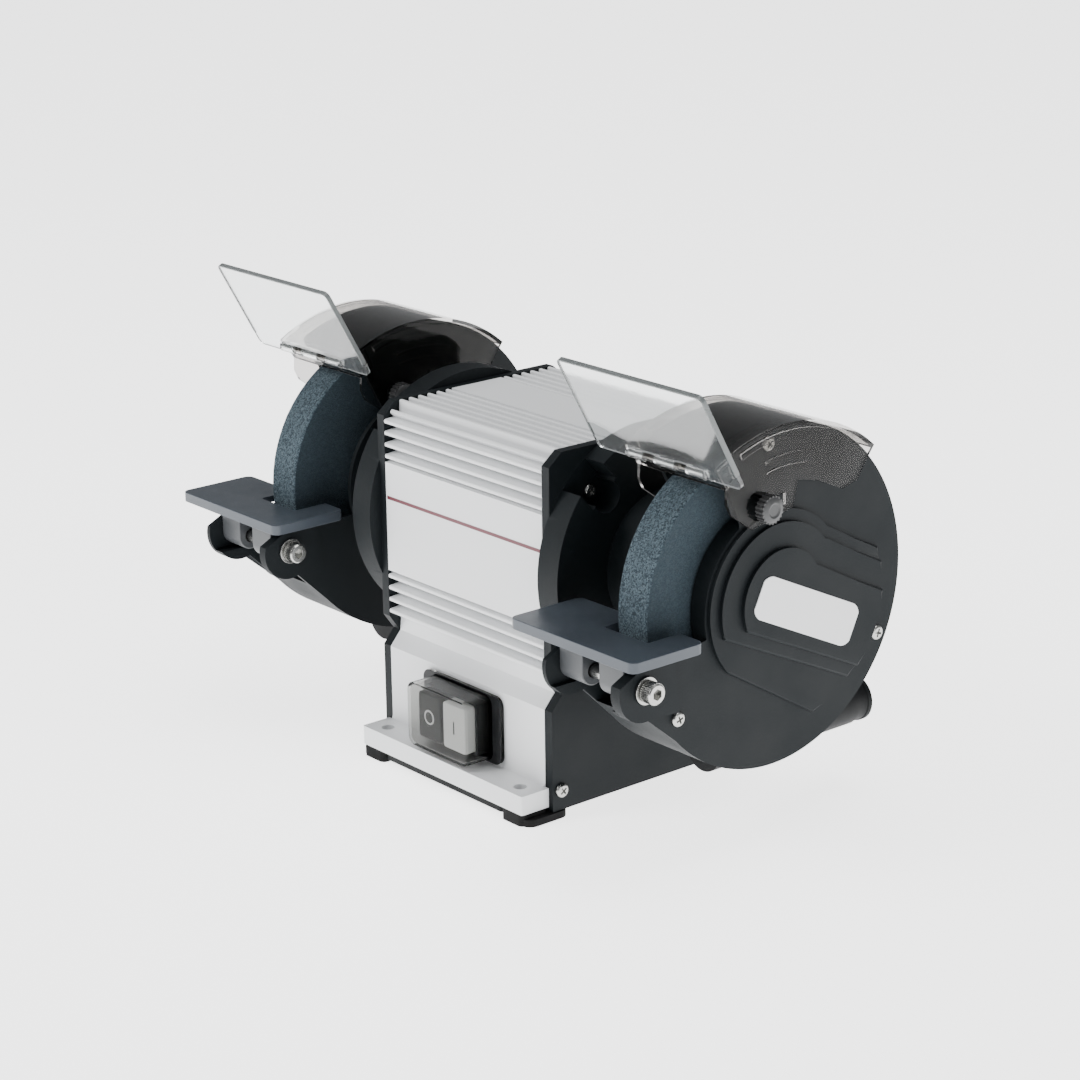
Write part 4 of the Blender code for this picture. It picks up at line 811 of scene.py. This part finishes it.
def grit_material():
    """Bonded grit: pale and dark grains in a blue-grey body, open on the edge and dull on the sides."""
    material = finish("bonded_grit", ((0.013, 0.025, 0.034), (0.021, 0.037, 0.049)), 420.0, (0.80, 0.95),
                      900.0, 0.0)
    nodes, links = material.node_tree.nodes, material.node_tree.links
    shader = nodes["Principled BSDF"]
    place, across, reach = (nodes.new("ShaderNode" + kind)
                            for kind in ("TexCoord", "VectorMath", "VectorMath"))
    across.operation = "MULTIPLY_ADD"
    across.inputs[1].default_value = (0.0, 1.0, 1.0)
    across.inputs[2].default_value = (0.0, 0.0, -SPINDLE)
    reach.operation = "LENGTH"
    on_edge = set_inputs(nodes.new("ShaderNodeMapRange"), From_Min=WHEEL_R - 0.0012,
                         From_Max=WHEEL_R - 0.0006, To_Min=0.10, To_Max=0.62)
    grain = set_inputs(nodes.new("ShaderNodeTexVoronoi"), Scale=1300.0)
    spread = nodes.new("ShaderNodeValToRGB")
    for stop, position, tone in zip(spread.color_ramp.elements, (0.25, 0.85),
                                    ((0.008, 0.019, 0.029, 1.0), (0.125, 0.175, 0.205, 1.0))):
        stop.position, stop.color = position, tone
    blend = nodes.new("ShaderNodeMix")
    blend.data_type = "RGBA"
    old = shader.inputs["Base Color"].links[0].from_socket
    pits = set_inputs(nodes.new("ShaderNodeBump"), Strength=0.8, Distance=0.00030)
    links.new(place.outputs["Object"], grain.inputs["Vector"])
    links.new(place.outputs["Object"], across.inputs[0])
    links.new(across.outputs["Vector"], reach.inputs[0])
    links.new(reach.outputs["Value"], on_edge.inputs["Value"])
    links.new(on_edge.outputs["Result"], blend.inputs["Factor"])
    links.new(grain.outputs["Color"], spread.inputs["Fac"])
    links.new(old, blend.inputs["A"])
    links.new(spread.outputs["Color"], blend.inputs["B"])
    links.new(blend.outputs["Result"], shader.inputs["Base Color"])
    links.new(grain.outputs["Distance"], pits.inputs["Height"])
    links.new(pits.outputs["Normal"], shader.inputs["Normal"])
    return material


def grit_tree():
    """Push every point inwards along its normal by an uneven amount, as broken grains stand."""
    tree, new, given = begin_tree("grit_surface", ("Blank", "Geometry"), ("Depth", "Float"),
                                  ("Grain Scale", "Float", 700.0))
    noise, normal, amount = new("ShaderNodeTexNoise"), new("GeometryNodeInputNormal"), new("ShaderNodeMath")
    deep, push, move = new("ShaderNodeMath"), new("ShaderNodeVectorMath"), new("GeometryNodeSetPosition")
    noise.inputs["Detail"].default_value = 2.0
    amount.operation = "MULTIPLY"
    deep.operation = "MULTIPLY"
    deep.inputs[1].default_value = -1.0
    push.operation = "SCALE"
    return end_tree(
        tree, given, move.outputs["Geometry"],
        (given["Grain Scale"], noise.inputs["Scale"]), (noise.outputs["Fac"], amount.inputs[0]),
        (given["Depth"], amount.inputs[1]), (amount.outputs[0], deep.inputs[0]),
        (normal.outputs[0], push.inputs[0]), (deep.outputs[0], push.inputs["Scale"]),
        (given["Blank"], move.inputs["Geometry"]), (push.outputs[0], move.inputs["Offset"]))


def hexagon(across, centre, turn=30.0):
    return [(centre[0] + across * math.cos(math.radians(turn + 60 * i)),
             centre[1] + across * math.sin(math.radians(turn + 60 * i))) for i in range(6)]


def hex_nut(name, start, end, corner, bore, centre):
    """Hexagon nut with both faces turned to a chamfer, cut from a turned blank."""
    lean_in = corner * 0.10
    low, high = min(start, end), max(start, end)
    blank = turned([(low, bore), (low, corner - lean_in), (low + lean_in * 0.5, corner * 1.01),
                    (high - lean_in * 0.5, corner * 1.01), (high, corner - lean_in), (high, bore)], centre,
                   48)
    steps = []
    flat = corner * math.cos(math.radians(30))
    for i in range(6):
        a = math.radians(60 * i)
        side_cut = [(flat, -corner), (flat * 2, -corner), (flat * 2, corner), (flat, corner)]
        c, s = math.cos(a), math.sin(a)
        outline = [(centre[0] + u * c - v * s, centre[1] + u * s + v * c) for u, v in side_cut]
        steps.append(("cut", prism(outline, low - 0.01, high + 0.01)))
    return forge(name, blank, steps, 0.0002, 2)


grit = grit_material()
grit_shape = grit_tree()
inner_face, outer_face = WHEEL_X - WHEEL_HALF, WHEEL_X + WHEEL_HALF
flange_face = outer_face + CLEAR + FLANGE_THICK
shaft_end = flange_face + CLEAR + NUT_THICK + 0.0015
shoulder = BEARING_END - BEARING_DEPTH - CLEAR
thread_start = inner_face - CLEAR - FLANGE_THICK - CLEAR
ridges = [(thread_start, SHAFT_R)]
for i in range(int((shaft_end - 0.0014 - flange_face - CLEAR) / THREAD_PITCH)):
    x = flange_face + 0.0008 + i * THREAD_PITCH
    ridges += [(x, SHAFT_R), (x + THREAD_PITCH * 0.5, SHAFT_R - THREAD_DEPTH),
               (x + THREAD_PITCH * 0.9, SHAFT_R)]
half_shaft = [(shoulder, 0.0110), (shoulder, 0.0085), (thread_start, 0.0085)] + ridges + [
    (shaft_end - 0.0010, SHAFT_R - 0.0002), (shaft_end, SHAFT_R - 0.0012), (shaft_end, 0.0)]
shaft = forge("spindle_shaft", turned([(-x, r) for x, r in reversed(half_shaft)] + half_shaft, AXIS, 48), (),
              0.0)
fit(shaft, zinc, "spindle_group", "bright_steel", "spindle")
for s, side in SIDES:
    rows = int(2 * WHEEL_HALF / GRIT_STEP)
    edge = [(inner_face + 0.0010 + (2 * WHEEL_HALF - 0.0020) * i / rows, WHEEL_R) for i in range(rows + 1)]
    side_steps = [WHEEL_R - 0.0008 - (WHEEL_R - WHEEL_BORE - 0.0008) * (i / 26) for i in range(27)]
    profile = [(inner_face, r) for r in reversed(side_steps)] + edge + [(outer_face, r) for r in side_steps]
    blank = loose(f"wheel_blank_{side}", turned(mirrored(profile, s), AXIS, 420))
    mesh = blank.data
    bpy.data.objects.remove(blank)
    wheel = grow(f"grinding_wheel_{side}", grit_shape, mesh, Depth=GRIT_DEPTH, Material=grit)
    wheel.data.set_sharp_from_angle(angle=math.radians(50))
    fit(wheel, grit, "spindle_group", "grinding_grit", f"wheel_{side}")
    spigot = WHEEL_HALF - CLEAR
    seat = inner_face - CLEAR
    rear = seat - FLANGE_THICK
    dish = [(rear, SHAFT_R + CLEAR), (rear, 0.0150), (rear + 0.0008, 0.0165), (rear + 0.0008, 0.0305),
            (rear, 0.0320), (rear, FLANGE_R - 0.0030), (rear + 0.0014, FLANGE_R), (seat, FLANGE_R),
            (seat, WHEEL_BORE - CLEAR), (inner_face + spigot, WHEEL_BORE - CLEAR),
            (inner_face + spigot, SHAFT_R + CLEAR)]
    for label, outline in (("inner", dish), ("outer", [(2 * WHEEL_X - x, r) for x, r in dish])):
        disc = forge(f"flange_disc_{label}_{side}", turned(mirrored(outline, s), AXIS, 96), (), 0.0002, 2)
        fit(disc, zinc, "spindle_group", "bright_steel", f"wheel_flange_{label}_{side}")
    near = s * (flange_face + CLEAR)
    nut = hex_nut(f"hex_nut_{side}", near, near + s * NUT_THICK, 0.0138, SHAFT_R + CLEAR, AXIS)
    fit(nut, zinc, "spindle_group", "bright_steel", f"spindle_nut_{side}")

# ------------------------------------------------------------------ tool rests
# A coated steel rest with a notch round the wheel stands on two cast lugs. A socket-head bolt with
# a washer and a hex nut clamps the lugs in the guard's ear, and the rest tilts on it. The arm over
# the guard's cover is thinner underneath, which leaves it room to dip.
REST_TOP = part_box("tool_rest_right")[1].z
REST_THICK = 0.0065
REST_LEFT = 0.0678
REST_RIGHT = 0.0391
NOTCH_Y = -0.0920
NOTCH_SIDE = WHEEL_HALF + 0.0060
REST_FRONT = NOTCH_Y - 0.0295
REST_BACK = NOTCH_Y + 0.0246
DIP_SPAN = (0.0150, 0.0290)
DIP_FRONT = -0.0880
DIP_ROOM = 0.0022
LUG_R = 0.0090
WASHER_THICK = 0.0016
HEAD_SEAT = EAR_FACE + CLEAR + WASHER_THICK + CLEAR
CLAMP_NUT = 0.0065
SHANK_R = 0.0040
BOLT_PITCH = 0.00125


def rib_tree():
    """Round ribs set out in a ring about X, as on a knob or a knurled bolt head."""
    tree, new, given = begin_tree("ring_of_ribs", ("Count", "Int"), ("Ring", "Float"), ("Rib", "Float"),
                                  ("Length", "Float"), ("Centre", "Vector"))
    ring_points, rib = new("GeometryNodeMeshCircle"), new("GeometryNodeMeshCylinder")
    copies, turn = new("GeometryNodeInstanceOnPoints"), new("GeometryNodeTransform")
    rib.inputs["Vertices"].default_value = 10
    turn.inputs["Rotation"].default_value = (0.0, math.pi / 2, 0.0)
    return end_tree(tree, given, turn.outputs["Geometry"], (given["Count"], ring_points.inputs["Vertices"]),
                    (given["Ring"], ring_points.inputs["Radius"]), (given["Rib"], rib.inputs["Radius"]),
                    (given["Length"], rib.inputs["Depth"]), (ring_points.outputs["Mesh"],
                                                             copies.inputs["Points"]),
                    (rib.outputs["Mesh"], copies.inputs["Instance"]),
                    (copies.outputs["Instances"], turn.inputs["Geometry"]),
                    (given["Centre"], turn.inputs["Translation"]))


ribs = rib_tree()
rest_coat = finish("rest_blue_grey_coat", ((0.040, 0.050, 0.063), (0.053, 0.064, 0.079)), 55.0, (0.30, 0.42),
                   1500.0, 0.00005)
lug_grey = finish("lug_grey_coat", ((0.040, 0.044, 0.048), (0.065, 0.069, 0.074)), 70.0, (0.38, 0.5), 1300.0,
                  0.00006)
for s, side in SIDES:
    centre = s * WHEEL_X
    table = forge(f"rest_table_{side}", block((centre - REST_LEFT, REST_FRONT, REST_TOP - REST_THICK),
                                              (centre + REST_RIGHT, REST_BACK, REST_TOP), 0.0050),
                  [("cut", block((centre - NOTCH_SIDE, NOTCH_Y, REST_TOP - 0.02),
                                 (centre + NOTCH_SIDE, 0.0, REST_TOP + 0.01), 0.0020)),
                   ("cut", block((centre + s * DIP_SPAN[0], DIP_FRONT, REST_TOP - 0.02),
                                 (centre + s * DIP_SPAN[1], 0.0, REST_TOP - REST_THICK + DIP_ROOM)))], 0.0008,
                  3)
    fit(table, rest_coat, f"rest_{side}", "rest_blue_grey", f"tool_rest_{side}")
    lug_outline = arc(LUG_R, 180.0, 360.0, BOLT, 8.0) + [(BOLT[0] + LUG_R, REST_TOP - REST_THICK + 0.0004),
                                                         (BOLT[0] - LUG_R, REST_TOP - REST_THICK + 0.0004)]
    for number, (start, end) in enumerate(LUG_SPANS):
        lug = forge(f"rest_lug_{number + 1}_{side}", prism(lug_outline, centre + start, centre + end),
                    [bore(0.0043, BOLT, 32)], 0.0008, 3)
        fit(lug, lug_grey, f"rest_{side}", "rest_blue_grey")
    head = centre + HEAD_SEAT
    nut_face = centre - EAR_FACE - CLEAR
    tail = nut_face - CLAMP_NUT - 0.0020
    thread = [(tail, 0.0), (tail, 0.0034), (tail + 0.0006, SHANK_R)]
    for i in range(12):
        thread += [(tail + 0.0008 + i * BOLT_PITCH, SHANK_R),
                   (tail + 0.0014 + i * BOLT_PITCH, SHANK_R - 0.0005)]
    profile = thread + [(tail + 0.0165, SHANK_R), (head, SHANK_R), (head, 0.0061), (head + 0.0072, 0.0061),
                        (head + 0.0080, 0.0054), (head + 0.0080, 0.0)]
    bolt = forge(f"socket_bolt_{side}", turned(profile, BOLT, 48),
                 [("cut", prism(hexagon(0.0034, BOLT), head + 0.0035, head + 0.02))], 0.0001, 2)
    fit(bolt, zinc, "grinder_frame", "bright_steel", f"rest_bolt_{side}")
    knurl = grow(f"bolt_knurl_{side}", ribs, Count=32, Ring=0.0060, Rib=0.0005, Length=0.0066,
                 Centre=(head + 0.0036, *BOLT), Material=zinc)
    fit(knurl, zinc, "grinder_frame", "bright_steel")
    washer = forge(f"flat_washer_{side}", turned([(head - 0.0019, 0.0043), (head - 0.0019, 0.0082),
                                                  (head - CLEAR, 0.0082), (head - CLEAR, 0.0043)], BOLT, 64),
                   (), 0.00025, 2)
    fit(washer, zinc, "grinder_frame", "bright_steel", f"rest_washer_{side}")
    fit(hex_nut(f"clamp_nut_{side}", nut_face - CLAMP_NUT, nut_face, 0.0072, 0.0043, BOLT), zinc,
        "grinder_frame", "bright_steel", f"rest_nut_{side}")

# ------------------------------------------------------------------ spark hoods, knobs and eye shields
# A moulded smoky hood sits over the open top of each guard. A ribbed knob clamps it, and a clear
# eye shield hinges on a steel pin along its front edge.
HOOD_IN = 0.1038
HOOD_OUT = 0.1060
HOOD_LEFT = 0.0397
HOOD_WALL = 0.0022
HOOD_BACK = 49.0
HOOD_FRONT = 122.0
FRONT_FOOT = HOOD_OUT - 0.0170
RIB_ROOT = 0.0006
HOOD_RIBS = ((0.0803, 0.0817, 69.0, 102.0, 0.0007), (0.0873, 0.0887, 69.0, 102.0, 0.0007),
             (0.0985, 0.1020, 66.0, 112.0, 0.0012), (0.0905, 0.1045, 115.5, 117.0, 0.0012),
             (0.0905, 0.1045, 119.8, 121.3, 0.0012), (0.0905, 0.0925, 115.5, 121.3, 0.0012),
             (0.1025, 0.1045, 115.5, 121.3, 0.0012))
HOOD_LUGS = ((-0.0175, -0.0090), (0.0090, 0.0175))
SHIELD_LUGS = ((-0.0320, -0.0180), (-0.0085, 0.0085), (0.0180, 0.0320))
SHIELD_SIZE = (0.1200, 0.0660, 0.0030)
SHIELD_ANGLE = 119.0
SHIELD_BELOW = 0.0035
PIN_FORWARD = 0.0045
PIN_R = 0.0015
EDGE_PROUD = 0.0002
BARREL_R = 0.0036
KNOB_R = 0.0085
SLOT_HALF = 0.0034


def cheek():
    below = [(0.0640, 0.0730), (0.0560, 0.0615), (0.0442, 0.0585), (0.0233, 0.0676), (0.0080, 0.0711),
             (0.0040, 0.0560), (-0.0100, 0.0520), (-0.0280, 0.0485), (-0.0370, 0.0550), (-0.0440, 0.0600),
             (-0.0475, 0.0670)]
    return (arc(HOOD_OUT, HOOD_BACK, HOOD_FRONT, step=2.0) + [spot(FRONT_FOOT, HOOD_FRONT)]
            + [(y, SPINDLE + z) for y, z in reversed(below)])


def hood_room():
    wall = math.degrees(HOOD_WALL / HOOD_IN)
    points = arc(HOOD_IN, HOOD_BACK, HOOD_FRONT - wall, step=2.0)
    points[0] = spot(HOOD_IN, HOOD_BACK - 4.0)
    return points + [spot(FRONT_FOOT, HOOD_FRONT - wall), spot(FRONT_FOOT, HOOD_FRONT + 10.0),
                     (-0.07, SPINDLE + 0.02), (0.09, SPINDLE + 0.02)]


def band(inner, outer, start, end, step=3.0):
    return arc(inner, start, end, step=step) + arc(outer, end, start, step=step)


def lean(shape, degrees, centre):
    """Turn a shape built upright (z up, y forwards) so that its up points that many degrees round."""
    c, s = math.cos(math.radians(degrees)), math.sin(math.radians(degrees))
    for v in shape.verts:
        x, b, a = v.co
        v.co = (x, centre[0] + c * a - s * b, centre[1] + s * a + c * b)
    return shape


front = math.radians(HOOD_FRONT)
PIN = (math.cos(front) * (HOOD_OUT - 0.0005) - PIN_FORWARD * math.sin(front),
       SPINDLE + math.sin(front) * (HOOD_OUT - 0.0005) + PIN_FORWARD * math.cos(front))
smoked = finish("smoked_polycarbonate", ((0.53, 0.515, 0.50), (0.58, 0.565, 0.55)), 18.0, (0.02, 0.05), 420.0,
                0.00001, Transmission_Weight=1.0, IOR=1.20)
clear = finish("clear_polycarbonate", ((0.86, 0.885, 0.885), (0.90, 0.92, 0.92)), 12.0, (0.03, 0.06), 300.0,
               0.00001, Transmission_Weight=0.97, IOR=1.46)
# Painted shade and highlight: a grey, part-clear band stands in for the grey look light gives the clear
# sheet's cut edge.
painted_edge_shading = finish("polycarbonate_edge", ((0.23, 0.25, 0.25), (0.31, 0.33, 0.33)), 40.0, (0.25, 0.35), 500.0,
                   0.00002, Transmission_Weight=0.55, IOR=1.49)
knob_grey = finish("knob_plastic", ((0.035, 0.036, 0.037), (0.052, 0.053, 0.054)), 80.0, (0.38, 0.5), 1500.0,
                   0.00004)
for s, side in SIDES:
    centre = s * WHEEL_X
    left, right_face = centre - HOOD_LEFT, centre + HOOD_RIGHT
    slot_way = band(KNOB_RING - SLOT_HALF, KNOB_RING + SLOT_HALF, KNOB_TURN - 15.2, KNOB_TURN + 5.2)
    moulded = [("cut", prism(hood_room(), left + HOOD_WALL, right_face - HOOD_WALL)),
               ("cut", prism(slot_way, right_face - 0.01, right_face + 0.01))]
    for inner, outer, start, end, proud in HOOD_RIBS:
        for root, crest in ((right_face - RIB_ROOT, right_face + proud), (left - proud, left + RIB_ROOT)):
            moulded.append(("join", prism(band(inner, outer, start, end), root, crest)))
    for start, end in HOOD_LUGS:
        foot = block((centre + start, -PIN_FORWARD - 0.001, -BARREL_R), (centre + end, 0.0, 0.0), 0.0002)
        moulded += [("join", lean(foot, HOOD_FRONT, PIN)),
                    ("join", rod(centre + start, centre + end, BARREL_R - 0.0001, PIN, 32))]
    pin_half = SHIELD_LUGS[-1][1] - 0.0010
    moulded.append(("cut", rod(centre - pin_half - CLEAR, centre + pin_half + CLEAR, PIN_R + CLEAR, PIN, 24)))
    hood = forge(f"hood_moulding_{side}", prism(cheek(), left, right_face), moulded, 0.0004, 2)
    fit(hood, smoked, f"hood_{side}", "smoked_plastic", f"spark_hood_{side}")
    pane_low, pane_high = (centre - SHIELD_SIZE[0] / 2, -SHIELD_BELOW), (centre + SHIELD_SIZE[0] / 2,
                                                                         SHIELD_SIZE[1] - SHIELD_BELOW)
    half_thick = SHIELD_SIZE[2] / 2
    pane = prism(rounded((pane_low[0] + EDGE_PROUD, pane_low[1]),
                         (pane_high[0] - EDGE_PROUD, pane_high[1] - EDGE_PROUD), 0.004),
                 EDGE_PROUD - half_thick, half_thick - EDGE_PROUD, "Y")
    steps = [("join", rod(centre + a, centre + b, BARREL_R, PIN, 32)) for a, b in SHIELD_LUGS]
    for a, b in HOOD_LUGS:
        steps.append(("cut", lean(block((centre + a - 0.0005, -0.01, -0.02),
                                        (centre + b + 0.0005, 0.01, BARREL_R + 0.0005), 0.0003), SHIELD_ANGLE,
                                  PIN)))
    steps.append(("cut", rod(centre - pin_half - CLEAR, centre + pin_half + CLEAR, PIN_R + CLEAR, PIN, 24)))
    shield = forge(f"clear_shield_{side}", lean(pane, SHIELD_ANGLE, PIN), steps, 0.0004, 3)
    fit(shield, clear, f"shield_{side}", "clear_plastic", f"eye_shield_{side}")
    # The grey band round the pane is painted shade and highlight of the cut edge, not a colour of the sheet.
    rim = 0.0011
    shaded_edge_band = lean(prism(rounded((pane_low[0], pane_low[1] + BARREL_R + 0.004), pane_high, 0.004),
                      -half_thick, half_thick, "Y"), SHIELD_ANGLE, PIN)
    hole = lean(prism(rounded((pane_low[0] + rim, -0.02), (pane_high[0] - rim, pane_high[1] - rim), 0.003),
                      -0.01, 0.01, "Y"), SHIELD_ANGLE, PIN)
    fit(forge(f"shield_edge_{side}", shaded_edge_band, [("cut", hole)], 0.0003, 2), painted_edge_shading, f"shield_{side}",
        "clear_plastic")
    face = right_face + CLEAR
    knob = forge(f"clamp_knob_{side}", turned([(face - 0.0077, 0.0), (face - 0.0077, 0.0030), (face, 0.0030),
                                               (face, KNOB_R - 0.0008), (face + 0.0060, KNOB_R - 0.0008),
                                               (face + 0.0071, KNOB_R - 0.0022),
                                               (face + 0.0075, KNOB_R - 0.0040),
                                               (face + 0.0068, KNOB_R - 0.0050), (face + 0.0068, 0.0)],
                                              KNOB_SPOT, 64), (), 0.0004, 3)
    fit(knob, knob_grey, "grinder_frame", "knob_grey", f"hood_knob_{side}")
    grip = grow(f"knob_ribs_{side}", ribs, Count=20, Ring=KNOB_R - 0.0008, Rib=0.0008, Length=0.0060,
                Centre=(face + 0.0031, *KNOB_SPOT), Material=knob_grey)
    fit(grip, knob_grey, "grinder_frame", "knob_grey")

# ------------------------------------------------------------------ cable gland
# A black clamping gland closes the lead's hole low on the back of the pedestal. It is turned
# round in one piece, and its mouth is where the supply lead goes in.
GLAND = (-0.0400, 0.0420)
gland_low, gland_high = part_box("cable_gland")
back_face = BODY_HALF + CLEAR
gland = forge("gland_body", turned([(gland_low.y, 0.0045), (gland_low.y, 0.0080), (back_face, 0.0080),
                                    (back_face, 0.0120), (back_face + 0.0057, 0.0120),
                                    (back_face + 0.0062, 0.0100), (back_face + 0.0157, 0.0090),
                                    (gland_high.y, 0.0065), (gland_high.y, 0.0045)], GLAND, 72, "Y"), (),
              0.0005, 3)
fit(gland, black_coat, "grinder_frame", "black_base", "cable_gland")

# ------------------------------------------------------------------ motor inside the housing
# Stacked electrical steel with varnished windings, ball bearings, the starting capacitor and the
# terminal block. They keep their shapes from the frame and are seen only through gaps.
lamination = finish("stacked_laminations", ((0.16, 0.16, 0.17), (0.24, 0.24, 0.25)), 220.0, (0.35, 0.5),
                    1200.0, 0.00005, 0.9)
varnished = finish("varnished_copper", ((0.30, 0.085, 0.030), (0.45, 0.14, 0.050)), 180.0, (0.25, 0.4), 900.0,
                   0.00012, 0.6)
inside_finish = {"stator_core": lamination, "rotor_core": lamination, "winding_left": varnished,
                 "winding_right": varnished, "bearing_outer_left": zinc, "bearing_outer_right": zinc,
                 "bearing_inner_left": zinc, "bearing_inner_right": zinc, "shield_pin_left": zinc,
                 "shield_pin_right": zinc, "capacitor": white_plastic, "terminal_block": white_plastic}
for node, material in inside_finish.items():
    part = frame["nodes"][node]
    if part.data.materials:
        for holder in part.material_slots:
            holder.material = material
    else:
        part.data.materials.append(material)

bpy.data.objects.remove(pan_screw)
